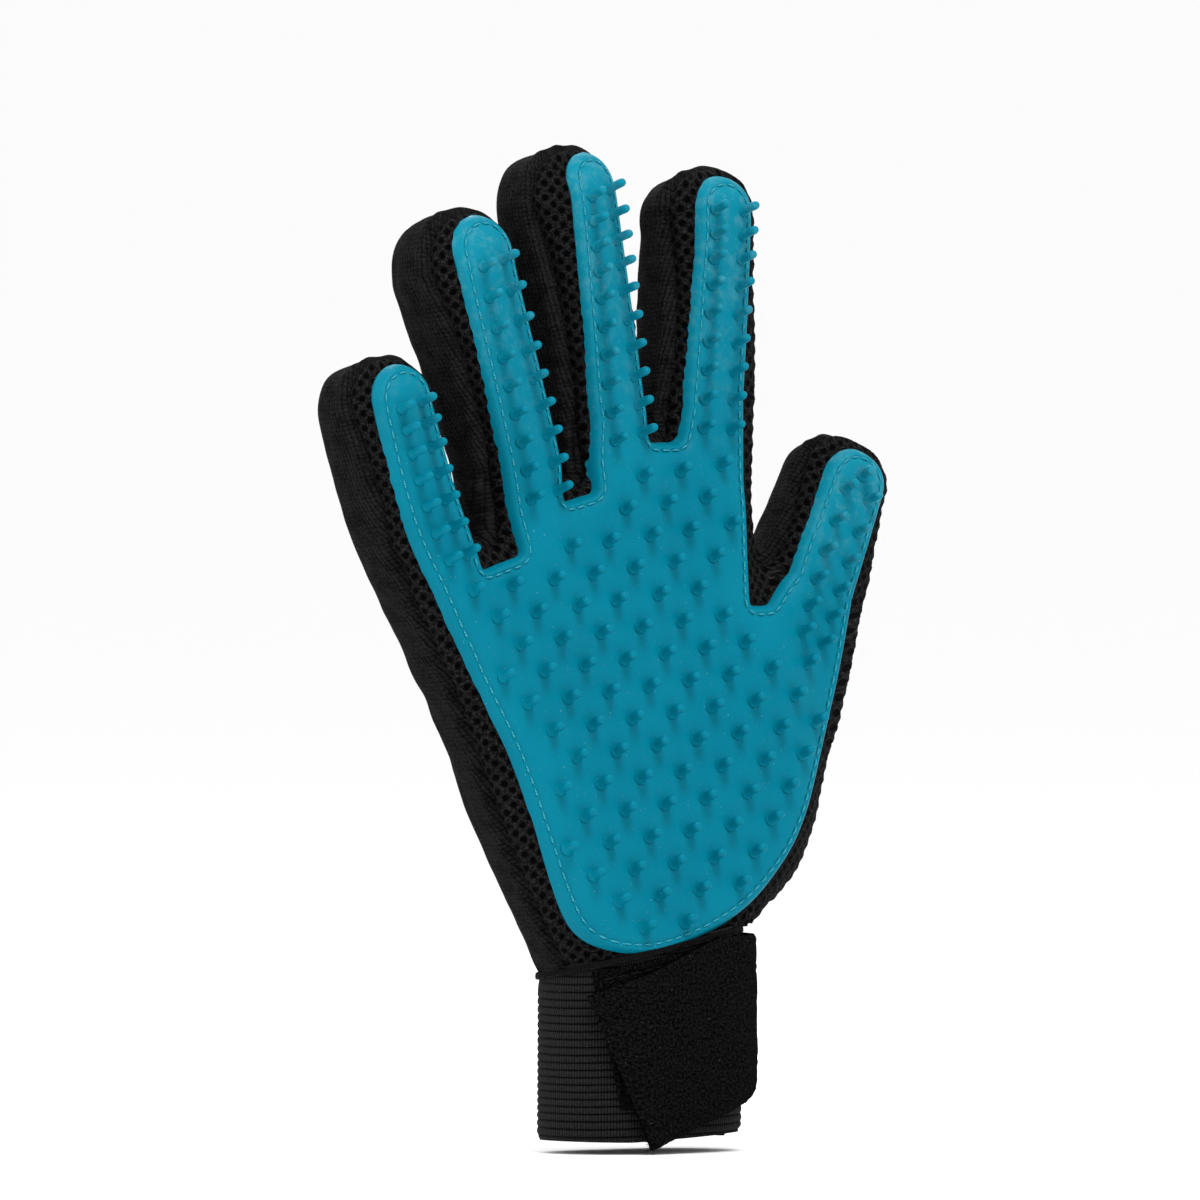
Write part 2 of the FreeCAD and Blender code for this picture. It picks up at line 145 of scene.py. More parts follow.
def smooth_curve(z, values, step=1.0, spread=4.0):
    """Station values every step along z, with the corners at the stations smoothed."""
    fine = np.arange(z[0] - 15, z[-1] + 15, step)
    raw = np.array([np.interp(fine, z, v) for v in values])
    reach = np.arange(-12, 13) * step
    kernel = np.exp(-(reach / spread) ** 2)
    kernel /= kernel.sum()
    padded = np.pad(raw, ((0, 0), (12, 12)), mode="edge")
    return fine, np.array([np.convolve(row, kernel, "valid") for row in padded])


class Digit:
    """One digit: its shape in its own upright frame, and the way to and from the hand's frame."""
    def __init__(self, name, spec):
        self.name = name
        self.__dict__.update(spec)
        s = np.array(self.stations, float)
        self.start, self.end = s[0, 0], s[-1, 0]
        self.fine, self.curves = smooth_curve(s[:, 0], s[:, 1:].T)
        turn = math.radians(self.lean)
        self.cos, self.sin = math.cos(turn), math.sin(turn)

    def section(self, z):
        """Centre x, half-width and half-depth at a height."""
        return [np.interp(z, self.fine, c) for c in self.curves]

    def local(self, x, z):
        """From the hand's frame to the digit's."""
        dx, dz = x - self.foot[0], z - self.foot[1]
        return dx * self.cos - dz * self.sin, dx * self.sin + dz * self.cos

    def hand(self, x, z):
        """From the digit's frame to the hand's."""
        return self.foot[0] + x * self.cos + z * self.sin, self.foot[1] + z * self.cos - x * self.sin

    def pad_at(self, z):
        """The pad's middle line and half-width at a height."""
        base, tip, shift_base, shift_tip = self.pad
        t = np.clip((z - self.folds[0]) / (self.end - self.folds[0]), 0, 1)
        return self.section(z)[0] + shift_base + (shift_tip - shift_base) * t, base + (tip - base) * t

    def distance(self, p):
        """Signed distance to the digit's fabric, domed at its tip."""
        x, z = self.local(p[..., 0], p[..., 2])
        behind = np.clip((p[..., 1] - SEAM_Y) / BACK_BLEND, 0, 1)
        z = z + BACK_DROP * behind
        xc, a, b = self.section(np.clip(z, self.start, self.end))
        dx = np.maximum(np.abs(x - xc) - (a - b), 0)
        dy = p[..., 1] - (b - FRONT)
        dz = np.maximum(z - self.end, 0) * b / (self.top - self.end) + np.maximum(self.start - z, 0)
        n = 2 + BACK_FULL * behind
        return (np.hypot(dx, dy) ** n + dz ** n) ** (1 / n) - b

    def part(self, z):
        """0 on the palm, 1 on the length that crosses the base fold, 2 on the one with the tip."""
        return (z > self.cuts[0]).astype(int) + (z > self.cuts[1]).astype(int)


digits = {name: Digit(name, spec) for name, spec in DIGITS.items()}
palm_fine, palm_curves = smooth_curve(PALM[:, 0], PALM[:, 1:].T)


def smooth_min(a, b, k):
    """The lesser of two distances, with a fillet of size k where they meet."""
    h = np.clip(0.5 + 0.5 * (b - a) / k, 0, 1)
    return b + (a - b) * h - k * h * (1 - h)


def palm_distance(p):
    """Signed distance to the palm, which ends on the crotch line."""
    left, right, b = [np.interp(p[..., 2], palm_fine, c) for c in palm_curves]
    middle, a = (left + right) / 2, (right - left) / 2
    slab = np.hypot(np.maximum(np.abs(p[..., 0] - middle) - (a - b), 0), p[..., 1]) - b
    above = (p[..., 2] - np.interp(p[..., 0], CROTCH_LINE[:, 0], CROTCH_LINE[:, 1])) * 0.9
    return -smooth_min(-slab, -above, PALM_TOP_ROUND)


def body_distance(p):
    """Signed distance to the fabric of the whole hand, in the hand's frame."""
    fingers = np.minimum.reduce([digits[n].distance(p) for n in ("index", "middle", "ring", "little")])
    hand = smooth_min(palm_distance(p), fingers, FINGER_FILLET)
    return smooth_min(hand, digits["thumb"].distance(p), THUMB_FILLET)


def gradient(p, e=0.2):
    """Outward unit directions of the body at points near its surface."""
    steps = np.eye(3) * e
    g = np.stack([body_distance(p + s) - body_distance(p - s) for s in steps], -1)
    return g / np.maximum(np.linalg.norm(g, axis=-1, keepdims=True), 1e-9)


def on_front(x, z, height):
    """Points over x, z that stand height off the fabric on the palm side."""
    y = np.full_like(x, -FRONT - 4)
    for _ in range(14):
        y += (body_distance(np.stack([x, y, z], -1)) - height) * 0.85
    return np.stack([x, y, z], -1)


def noise(p, scale, seed):
    """Smooth value noise from -1 to 1 at points p, with cells of the given size."""
    q = p / scale
    cell = np.floor(q).astype(np.int64)
    f = q - cell
    f = f * f * (3 - 2 * f)
    total = 0
    for corner in np.ndindex(2, 2, 2):
        c = cell + np.array(corner)
        h = (c[..., 0] * 73856093) ^ (c[..., 1] * 19349663) ^ (c[..., 2] * 83492791) ^ (seed * 2654435761)
        h = (h ^ (h >> 13)) * 1274126177 & 0x7FFFFFFF
        weight = np.prod(np.where(np.array(corner) == 1, f, 1 - f), -1)
        total = total + weight * (h / 0x3FFFFFFF - 1)
    return total


# ---------------------------------------------------------------- mesh tools
def surface_net(field, origin, step):
    """Points and quads on the zero level of a sampled distance field."""
    inside = field < 0
    cells = tuple(n - 1 for n in field.shape)
    total, count, crossings = np.zeros(cells + (3,)), np.zeros(cells), []
    for axis in range(3):
        low = [slice(None)] * 3
        high = [slice(None)] * 3
        low[axis], high[axis] = slice(0, -1), slice(1, None)
        f0, f1 = field[tuple(low)], field[tuple(high)]
        cross = inside[tuple(low)] != inside[tuple(high)]
        share = np.where(cross, f0 / np.where(cross, f0 - f1, 1), 0)
        crossings.append((cross, inside[tuple(low)]))
        others = [a for a in range(3) if a != axis]
        for i, j in np.ndindex(2, 2):
            cut = [slice(0, None)] * 3
            cut[others[0]], cut[others[1]] = slice(i, cells[others[0]] + i), slice(j, cells[others[1]] + j)
            hit = cross[tuple(cut)]
            count += hit
            total[..., axis] += share[tuple(cut)]
            total[..., others[0]] += hit * i
            total[..., others[1]] += hit * j
    index = np.full(cells, -1)
    active = count > 0
    index[active] = np.arange(active.sum())
    points = origin + step * (np.argwhere(active) + total[active] / count[active][:, None])
    quads = []
    for axis, (cross, low_inside) in enumerate(crossings):
        b, c = (axis + 1) % 3, (axis + 2) % 3
        at = np.argwhere(cross)
        at = at[(at[:, b] > 0) & (at[:, c] > 0) & (at[:, b] < cells[b]) & (at[:, c] < cells[c])]
        ring = []
        for back_b, back_c in ((1, 1), (0, 1), (0, 0), (1, 0)):
            cell = at.copy()
            cell[:, b] -= back_b
            cell[:, c] -= back_c
            ring.append(index[tuple(cell.T)])
        quad = np.stack(ring, 1)
        flip = ~low_inside[tuple(at.T)]
        quad[flip] = quad[flip][:, ::-1]
        quads.append(quad)
    return points, np.concatenate(quads)


def relax(points, quads, rounds):
    """Evens out a net's points and puts them back on the body's surface."""
    edges = np.concatenate([quads[:, [i, (i + 1) % 4]] for i in range(4)])
    degree = np.bincount(edges.ravel(), minlength=len(points))[:, None]
    for _ in range(rounds):
        total = np.zeros_like(points)
        np.add.at(total, edges[:, 0], points[edges[:, 1]])
        np.add.at(total, edges[:, 1], points[edges[:, 0]])
        points = points * 0.5 + total / degree * 0.5
        points = points - gradient(points) * body_distance(points)[:, None]
    return points


def boundary(faces):
    """Directed edges that only one face has."""
    seen = {}
    for face in faces:
        for a, b in zip(face, list(face[1:]) + [face[0]]):
            key = (min(a, b), max(a, b))
            if key in seen:
                seen[key] = None
            else:
                seen[key] = (a, b)
    return [e for e in seen.values() if e]


def shell(name, outer, inner, faces, normals, uv, material):
    """A closed wall between two layers of points. normals shade the outer layer, so cut pieces match."""
    used = sorted({i for f in faces for i in f})
    remap = {old: new for new, old in enumerate(used)}
    faces = [[remap[i] for i in f] for f in faces]
    outer, inner, normals, uv = outer[used], inner[used], normals[used], uv[used]
    n = len(used)
    rims = [(b, a, a + n, b + n) for a, b in boundary(faces)]
    back = [[i + n for i in reversed(f)] for f in faces]
    mesh = smooth_mesh(name, np.concatenate([outer, inner]), faces + back + rims, material)
    loops = np.empty(len(mesh.loops), np.int64)
    mesh.loops.foreach_get("vertex_index", loops)
    layer = mesh.uv_layers.new(name="Fabric")
    layer.data.foreach_set("uv", uv[loops % n].astype(np.float32).ravel())
    shade = np.where((loops < n)[:, None], normals[loops % n], -normals[loops % n])
    rim_start = 2 * sum(len(f) for f in faces)
    ends = np.array(rims)
    side = np.cross(outer[ends[:, 1]] - outer[ends[:, 0]], normals[ends[:, 1]])
    side /= np.maximum(np.linalg.norm(side, axis=1, keepdims=True), 1e-12)
    shade[rim_start:] = np.repeat(side, 4, axis=0)
    mesh.normals_split_custom_set(shade.tolist())
    return link(name, mesh)


def smooth_mesh(name, points, faces, material):
    mesh = bpy.data.meshes.new(name)
    mesh.from_pydata(points, [], faces)
    mesh.polygons.foreach_set("use_smooth", [True] * len(mesh.polygons))
    mesh.materials.append(material)
    return mesh


def link(name, data):
    """An object of a mesh, camera or light, in the scene."""
    obj = bpy.data.objects.new(name, data)
    bpy.context.scene.collection.objects.link(obj)
    return obj


def grid_faces(rows, columns, closed):
    """Quads of a grid of points, row by row, whose columns may close into a ring."""
    faces = []
    for r in range(rows - 1):
        for c in range(columns if closed else columns - 1):
            d = (c + 1) % columns
            faces.append([r * columns + c, r * columns + d, (r + 1) * columns + d, (r + 1) * columns + c])
    return faces


def vertex_normals(points, faces):
    """Area-weighted normals of a mesh of mixed faces."""
    total = np.zeros_like(points)
    for size in {len(f) for f in faces}:
        group = np.array([f for f in faces if len(f) == size])
        for k in range(1, size - 1):
            a, b, c = points[group[:, 0]], points[group[:, k]], points[group[:, k + 1]]
            area = np.cross(b - a, c - a)
            for corner in range(size):
                np.add.at(total, group[:, corner], area)
    return total / np.maximum(np.linalg.norm(total, axis=1, keepdims=True), 1e-12)


# ---------------------------------------------------------------- fabric of the hand
NET_STEP = 1.0
# The box that the hand's surface is sampled in
NET_LOW, NET_HIGH = np.array([-90, -24, 24.0]), np.array([100, 24, 246.0])


def cut_plane(bm, digit, height):
    """Cuts one digit's sleeve across at a height of its own frame, so that pieces end on a clean line."""
    x, z = digit.hand(0, height)
    centres = np.array([f.calc_center_median() for f in bm.faces])
    _, local_z = digit.local(centres[:, 0], centres[:, 2])
    near = (np.abs(local_z - height) < 4) & (digit.distance(centres) < 4)
    faces = [f for f, hit in zip(bm.faces, near) if hit]
    geom = set(faces) | {e for f in faces for e in f.edges} | {v for f in faces for v in f.verts}
    along = (digit.sin, 0, digit.cos)
    bmesh.ops.bisect_plane(bm, geom=list(geom), dist=1e-4, plane_co=(x, 0, z), plane_no=along)


def wrist_plane():
    """A point and normal of the wrist seam's plane, in the hand's frame."""
    tilt = turn_matrix((0, 0, CUFF_TOP), HAND_TURN_AXIS, CUFF_SLANT).to_3x3() @ Vector((0, 0, 1))
    back = Matrix(TO_GLOVE.tolist()).inverted()
    return back @ Vector((0, 0, CUFF_TOP)), (back.to_3x3() @ tilt).normalized()


def seam_line(p):
    """The y of the side seam. It swings towards the palm along each digit and comes back at the tip."""
    swing = np.interp(p[:, 2], (60, 110), (0.0, SWING_PALM))
    best = np.full(len(p), 4.0)
    for digit in digits.values():
        x, z = digit.local(p[:, 0], p[:, 2])
        xc, a, _ = digit.section(np.clip(z, digit.start, digit.end))
        off = np.abs(x - xc) - a
        hit = (z > digit.cuts[0]) & (off < best)
        best[hit] = off[hit]
        below_tip = np.interp(digit.top - z[hit], (6, 14, 24, 36), (0.0, 0.5, 2.2, SWING_DIGIT))
        swing[hit] = np.minimum(below_tip, SWING_PALM + 0.12 * (z[hit] - digit.cuts[0]))
    return SEAM_Y - swing


def body_mesh():
    """Points and faces of the whole hand, cut along the mesh-knit seam, the wrist and the digits' joins."""
    axes = [np.arange(a, b, NET_STEP) for a, b in zip(NET_LOW, NET_HIGH)]
    field = body_distance(np.stack(np.meshgrid(*axes, indexing="ij"), -1))
    points, quads = surface_net(field, NET_LOW, NET_STEP)
    points = relax(points, quads, 3)
    mesh = bpy.data.meshes.new("body")
    points[:, 1] -= seam_line(points)
    mesh.from_pydata(points, [], quads.tolist())
    bm = bmesh.new()
    bm.from_mesh(mesh)
    bpy.data.meshes.remove(mesh)
    everything = bm.verts[:] + bm.edges[:] + bm.faces[:]
    bmesh.ops.bisect_plane(bm, geom=everything, dist=1e-4, plane_co=(0, 0, 0), plane_no=(0, 1, 0))
    straight = np.array([v.co for v in bm.verts])
    for vert, y in zip(bm.verts, straight[:, 1] + seam_line(straight)):
        vert.co.y = y
    everything = bm.verts[:] + bm.edges[:] + bm.faces[:]
    where, up = wrist_plane()
    bmesh.ops.bisect_plane(bm, geom=everything, dist=1e-4, plane_co=where, plane_no=up, clear_inner=True)
    for digit in digits.values():
        for height in digit.cuts:
            cut_plane(bm, digit, height)
    bm.verts.index_update()
    points = np.array([v.co for v in bm.verts])
    faces = [[v.index for v in f.verts] for f in bm.faces]
    bm.free()
    return points, faces


def owners(p):
    """For each point: the digit's number (or -1 on the palm) and its part."""
    best, owner, part = np.full(len(p), 3.0), np.full(len(p), -1), np.zeros(len(p), int)
    for k, digit in enumerate(digits.values()):
        _, z = digit.local(p[:, 0], p[:, 2])
        d = np.abs(digit.distance(p))
        hit = (z > digit.cuts[0]) & (d < best)
        best[hit], owner[hit], part[hit] = d[hit], k, digit.part(z[hit])
    return owner, part


def around(p, section, back):
    """Distance round the surface from its front's (or back's) middle line."""
    xc, a, b, yc = section
    flat = np.maximum(a - b, 0)
    side = p[:, 0] - xc
    facing = (p[:, 1] - yc) * np.where(back, 1, -1)
    run = np.minimum(np.abs(side), flat) + b * np.arctan2(np.maximum(np.abs(side) - flat, 0), facing)
    return xc + np.sign(side) * run


def fabric_uv(p, back):
    """Fabric coordinates in millimetres: round the palm or digit, and along it."""
    left, right, b = [np.interp(p[:, 2], palm_fine, c) for c in palm_curves]
    u = around(p, ((left + right) / 2, (right - left) / 2, b, 0), back)
    uv = np.stack([u, p[:, 2]], 1)
    owner, _ = owners(p)
    for k, digit in enumerate(digits.values()):
        hit = owner == k
        x, z = digit.local(p[hit, 0], p[hit, 2])
        xc, a, b = digit.section(np.clip(z, digit.start, digit.end))
        q = np.stack([x, p[hit, 1], z], 1)
        uv[hit, 0] = around(q, (xc, a, b, b - FRONT), back[hit])
        uv[hit, 1] = z
    return uv


def fabric_relief(p):
    """How far the fabric stands off the smooth body: sunk side seam, soft folds, gathered wrist."""
    from_seam = p[:, 1] - seam_line(p)
    off_seam = np.abs(from_seam)
    seam = 0.45 * np.exp(-((off_seam - 2.4) / 1.4) ** 2) - 1.6 * np.exp(-(off_seam / 1.1) ** 2)
    pucker = 0.22 * np.sin(p[:, 2] * 1.7 + p[:, 0] + 2 * noise(p, 8.0, 12))
    pucker = pucker * np.exp(-(off_seam / 4.0) ** 2)
    stretched = p * np.array([1.0, 1.0, 0.55])
    folds = 0.35 * noise(stretched, 9.0, 3) + 0.24 * noise(p, 4.5, 8)
    wrinkle = noise(p * np.array([1.0, 1.0, 0.28]), 3.6, 17)
    folds = folds - 0.45 * np.clip(wrinkle - 0.1, 0, 1) * np.clip(from_seam / 3, 0, 1)
    where, up = wrist_plane()
    over_wrist = (p - np.array(where)) @ np.array(up)
    gather = 0.5 * np.sin(p[:, 0] * 1.05 + 0.6 * p[:, 1]) * np.exp(-(over_wrist / 5.0) ** 2)
    hem = -0.9 * np.exp(-(over_wrist / 3.0) ** 2)
    return seam + pucker + folds + gather + hem


def length_name(k, part):
    """The name of a digit's length, from its number and part."""
    return f"{list(digits)[k]}_{('', 'knuckle', 'fingertip')[part]}"


BEND_GAP = 2.0  # a length's span stays this far from where it joins the next; the spans are worked out but no bend is made


def mount_length(obj, digit_name, part):
    """Rides a piece on the palm. A digit's length is baked where it stands and rides no body; it is not bent
    over its fold.
    """
    if part == 0:
        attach(obj, "hand")
        return
    digit = digits[digit_name]
    lower, upper = digit.cuts
    spans = ((lower, upper - BEND_GAP), (upper + BEND_GAP, 2 * digit.folds[1] - upper - BEND_GAP))
    for height in spans[part - 1]:
        x, z = digit.hand(0, height)
    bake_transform(obj)


def fabric_pieces(mesh_material, knit_material):
    """The air mesh front and the knit back of the palm and of every digit length."""
    points, faces = body_mesh()
    directions = gradient(points)
    relief = fabric_relief(points)
    outer = points + directions * relief[:, None]
    normals = vertex_normals(outer, faces)
    inner = points - directions * (FABRIC - np.minimum(relief, 0))[:, None]
    centres = np.array([points[f].mean(0) for f in faces])
    owner, part = owners(centres)
    behind = centres[:, 1] > seam_line(centres)
    outer, inner, shading = to_glove(outer), to_glove(inner), turn_to_glove(normals)
    for key in sorted(set(zip(owner.tolist(), part.tolist(), behind.tolist()))):
        k, length, back = key
        chosen = (owner == k) & (part == length) & (behind == back)
        piece_faces = [faces[i] for i in np.flatnonzero(chosen)]
        if not piece_faces or (k >= 0 and length == 0):
            continue
        uv = fabric_uv(points, np.full(len(points), back))
        cloth = "knit" if back else "air_mesh"
        name = ("back" if back else "palm") if k < 0 else length_name(k, length)
        material = knit_material if back else mesh_material
        obj = shell(f"{name}_{cloth}", outer, inner, piece_faces, shading, uv, material)
        node_part = "knit_back" if back else "mesh_front"
        if k < 0:
            node = "hand_knit_back" if back else "palm_mesh_front"
        else:
            node = f"{list(digits)[k]}_{('', 'base', 'tip')[length]}_{node_part}"
        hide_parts(node)
        mount_length(obj, list(digits)[k] if k >= 0 else "", length)


# ---------------------------------------------------------------- rubber pad
EDGE_STEP = 0.9


def round_corners(corners):
    """A polygon of (x, z, rounding) with each corner replaced by a smooth bend."""
    path = []
    for i, (x, z, reach) in enumerate(corners):
        here = np.array([x, z], float)
        before, after = np.array(corners[i - 1][:2]), np.array(corners[(i + 1) % len(corners)][:2])
        if reach == 0:
            path.append(here)
            continue
        ends = []
        for other in (before, after):
            length = np.linalg.norm(other - here)
            ends.append(here + (other - here) * min(reach / length, 0.48))
        count = max(3, round(reach))
        for t in np.linspace(0, 1, count + 1):
            path.append((1 - t) ** 2 * ends[0] + 2 * t * (1 - t) * here + t * t * ends[1])
    return path


def digit_outline(digit):
    """One digit's pad edge: up the right side, round the tip and down the left, as (x, z, rounding)."""
    top = digit.top - PAD_BELOW_TIP - digit.pad[1]
    heights = [digit.cuts[0], digit.folds[0], digit.cuts[1], digit.folds[1]]
    heights += list(np.arange(digit.folds[1] + 4, top, 6.0)) + [top]
    spans = [digit.pad_at(z) for z in heights]
    right = [(middle + half, z) for (middle, half), z in zip(spans, heights)]
    left = [(middle - half, z) for (middle, half), z in zip(spans, heights)][::-1]
    middle, half = spans[-1]
    turns = np.linspace(0, math.pi, 25)[1:-1]
    cap = [(middle + half * math.cos(t), top + half * math.sin(t)) for t in turns]
    return [(*digit.hand(x, z), 0) for x, z in right + cap + left]


def pad_outline():
    """The pad's whole edge, anticlockwise, as points at most EDGE_STEP apart."""
    corners = []
    for name in ("thumb", "index", "middle", "ring", "little"):
        corners += digit_outline(digits[name]) + [(x, z, CROTCH_BEND) for x, z in CROTCHES[name]]
    corners += HEEL
    path = round_corners(corners)
    dense = []
    for a, b in zip(path, path[1:] + path[:1]):
        count = max(1, math.ceil(np.linalg.norm(b - a) / EDGE_STEP - 1e-6))
        if np.linalg.norm(b - a) > 1e-6:
            dense += [a + (b - a) * i / count for i in range(count)]
    return np.array(dense)


def edge_distance(p, outline):
    """Distance of 2-D points from the outline, positive inside it."""
    best = np.full(len(p), 1e9)
    inside = np.zeros(len(p), bool)
    for a, b in zip(outline, np.roll(outline, -1, axis=0)):
        run = b - a
        t = np.clip(((p - a) @ run) / (run @ run), 0, 1)
        best = np.minimum(best, np.linalg.norm(p - a - t[:, None] * run, axis=1))
        if (a[1] > p[:, 1]).any() or (b[1] > p[:, 1]).any():
            crosses = (a[1] > p[:, 1]) != (b[1] > p[:, 1])
            if a[1] != b[1]:
                inside ^= crosses & (p[:, 0] < a[0] + (p[:, 1] - a[1]) * run[0] / run[1])
    return np.where(inside, best, -best)


def inward(outline):
    """Unit normals into the pad at the outline's points."""
    run = np.roll(outline, -1, axis=0) - np.roll(outline, 1, axis=0)
    normal = np.stack([-run[:, 1], run[:, 0]], 1)
    return normal / np.linalg.norm(normal, axis=1, keepdims=True)


def pad_sheet(outline):
    """A triangulated plan of the pad whose rows follow its edge: points, triangles and edge distances."""
    n = len(outline)
    normals = inward(outline)
    points, edges = [tuple(p) for p in outline], [(i, (i + 1) % n) for i in range(n)]
    for digit in digits.values():
        for height in digit.cuts:
            ends = []
            middle, half = digit.pad_at(height)
            for side in (1, -1):
                ends.append(np.array(digit.hand(middle + side * half, height)))
            ids = [int(np.argmin(np.linalg.norm(outline - e, axis=1))) for e in ends]
            a, b = outline[ids[0]], outline[ids[1]]
            count = math.ceil(np.linalg.norm(b - a) / EDGE_STEP)
            chain = [ids[0]]
            for i in range(1, count):
                points.append(tuple(a + (b - a) * i / count))
                chain.append(len(points) - 1)
            chain.append(ids[1])
            edges += list(zip(chain, chain[1:]))
    cuts = np.array(points[n:])
    low, high = outline.min(0), outline.max(0)
    loose = []
    for depth in LIP[1:, 0]:
        ring = outline + normals * depth
        loose.append(ring[np.abs(edge_distance(ring, outline) - depth) < 0.03])
    xs, zs = np.arange(low[0], high[0], 1.25), np.arange(low[1], high[1], 1.08)
    grid = np.stack(np.meshgrid(xs, zs), -1)
    grid[1::2, :, 0] += 0.62
    grid = grid.reshape(-1, 2)
    loose.append(grid[edge_distance(grid, outline) > LIP[-1, 0] + 0.6])
    loose = np.concatenate(loose)
    gap = np.min(np.linalg.norm(loose[:, None] - cuts[None], axis=2), axis=1)
    loose = loose[gap > 0.4]
    rounded = np.round(loose / 0.3).astype(int)
    loose = loose[np.unique(rounded, axis=0, return_index=True)[1]]
    points += [tuple(p) for p in loose]
    result = geometry.delaunay_2d_cdt([Vector(p) for p in points], edges, [list(range(n))], 1, 1e-5)
    flat = np.array([v[:] for v in result[0]])
    return flat, [list(f) for f in result[2]], np.maximum(edge_distance(flat, outline), 0)


def pad_pieces(material, thread):
    """The rubber pad's palm and digit lengths, each closed, with its nubs and its thread."""
    outline = pad_outline()
    flat, faces, depth = pad_sheet(outline)
    height = np.interp(depth, LIP[:, 0], LIP[:, 1])
    swell = 0.06 * noise(np.stack([flat[:, 0], flat[:, 1] * 0, flat[:, 1]], 1), 14.0, 5)
    x, z = flat[:, 0].copy(), flat[:, 1].copy()
    outer = on_front(x, z, height + swell * np.minimum(depth / 6, 1))
    inner = on_front(x, z, np.full(len(x), -0.25))
    normals = vertex_normals(outer, faces)
    if normals[:, 1].mean() > 0:
        faces, normals = [f[::-1] for f in faces], -normals
    centres = outer[np.array(faces)].mean(1)
    owner, part = pad_owners(centres)
    outer_m, inner_m, shade = to_glove(outer), to_glove(inner), turn_to_glove(normals)
    nubs, nub_keys = all_nubs(outline)
    stitches, stitch_keys = pad_stitches(outline)
    for k, length in sorted(set(zip(owner.tolist(), part.tolist()))):
        chosen = [faces[i] for i in np.flatnonzero((owner == k) & (part == length))]
        name = "palm" if k < 0 else length_name(k, length)
        digit = list(digits)[k] if k >= 0 else ""
        obj = shell(f"{name}_rubber_pad", outer_m, inner_m, chosen, shade, flat, material)
        own_nubs = [s for s, key in zip(nubs, nub_keys) if key == (k, length)]
        own_stitches = [s for s, key in zip(stitches, stitch_keys) if key == (k, length)]
        knobs = join_shapes(f"{name}_nubs", own_nubs, material)
        sewn = join_shapes(f"{name}_pad_thread", own_stitches, thread)
        paint_wear_and_glare(obj)
        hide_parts("palm_rubber_pad" if k < 0 else f"{digit}_{('', 'base', 'tip')[length]}_rubber_pad")
        paint_wear_and_glare(knobs)
        for piece in (obj, knobs, sewn):
            mount_length(piece, digit, length)


def pad_owners(p):
    """As owners, for points on the pad: they belong to the digit whose strip they lie on."""
    owner, part = np.full(len(p), -1), np.zeros(len(p), int)
    for k, digit in enumerate(digits.values()):
        x, z = digit.local(p[:, 0], p[:, 2])
        middle, half = digit.pad_at(np.clip(z, digit.start, digit.end))
        hit = (z > digit.cuts[0]) & (np.abs(x - middle) < half + 2.5)
        owner[hit], part[hit] = k, digit.part(z[hit])
    return owner, part


def paint_wear_and_glare(obj):
    """A vertex attribute, 1 at the fingertips, where the rubber is rubbed pale and painted glare is laid on,
    0 on the palm.
    """
    co = np.array([v.co for v in obj.data.vertices]) / MM
    wear_and_glare = np.clip((co[:, 2] - 150) / 80, 0, 1)
    thumb = np.clip((co[:, 2] - 120) / 45, 0, 1) * (co[:, 0] > 40)
    layer = obj.data.attributes.new("WearAndGlare", "FLOAT", "POINT")
    layer.data.foreach_set("value", np.maximum(wear_and_glare, thumb).astype(np.float32))


# ---------------------------------------------------------------- nubs and thread
NUB_SIDES = 14
NUB_RISE = 0.2  # the nubs point a little towards the fingertips
# Nub outline: radius, share of the height; the foot flares into the pad
NUB_SHAPE = [(1.65, -0.06), (1.5, 0.03), (1.34, 0.09), (1.2, 0.17), (1.1, 0.3), (1.06, 0.5), (1.08, 0.72),
             (1.04, 0.84), (0.84, 0.93), (0.48, 0.985)]
PALM_NUB_GIRTH = 1.18  # the palm's nubs are this much thicker
NUB_MARGIN, NUB_CLEAR = 4.6, 6.0  # least distance of a palm nub from the pad's edge and from a finger's nub
NUB_FOOT = 1.6  # height of a nub's foot over the fabric


def nub_shape(foot, out, height):
    """One nub as points and faces."""
    girth = PALM_NUB_GIRTH if height == NUB_PALM else 1.0
    side = np.cross(out, [0, 0, 1.0])
    side /= np.linalg.norm(side)
    up = np.cross(side, out)
    points = []
    for radius, share in NUB_SHAPE:
        for i in range(NUB_SIDES):
            t = 2 * math.pi * i / NUB_SIDES
            ring = radius * girth * (side * math.cos(t) + up * math.sin(t))
            points.append(foot + out * share * height + ring)
    points.append(foot + out * height)
    faces = grid_faces(len(NUB_SHAPE), NUB_SIDES, True)
    last = (len(NUB_SHAPE) - 1) * NUB_SIDES
    for i in range(NUB_SIDES):
        faces.append([last + i, last + (i + 1) % NUB_SIDES, len(points) - 1])
    faces.append(list(range(NUB_SIDES))[::-1])
    return np.array(points), faces


def digit_rows(digit):
    """Heights of the rows of nubs up one digit, evenly spread between its folds."""
    base, middle = digit.folds
    rows = [base - (i + 0.5) * NUB_PITCH for i in range(digit.rows)]
    for low, high in ((base, middle), (middle, digit.nubs[3])):
        count = max(1, round((high - low) / NUB_PITCH))
        rows += [low + (i + 0.5) * (high - low) / count for i in range(count)]
    return rows


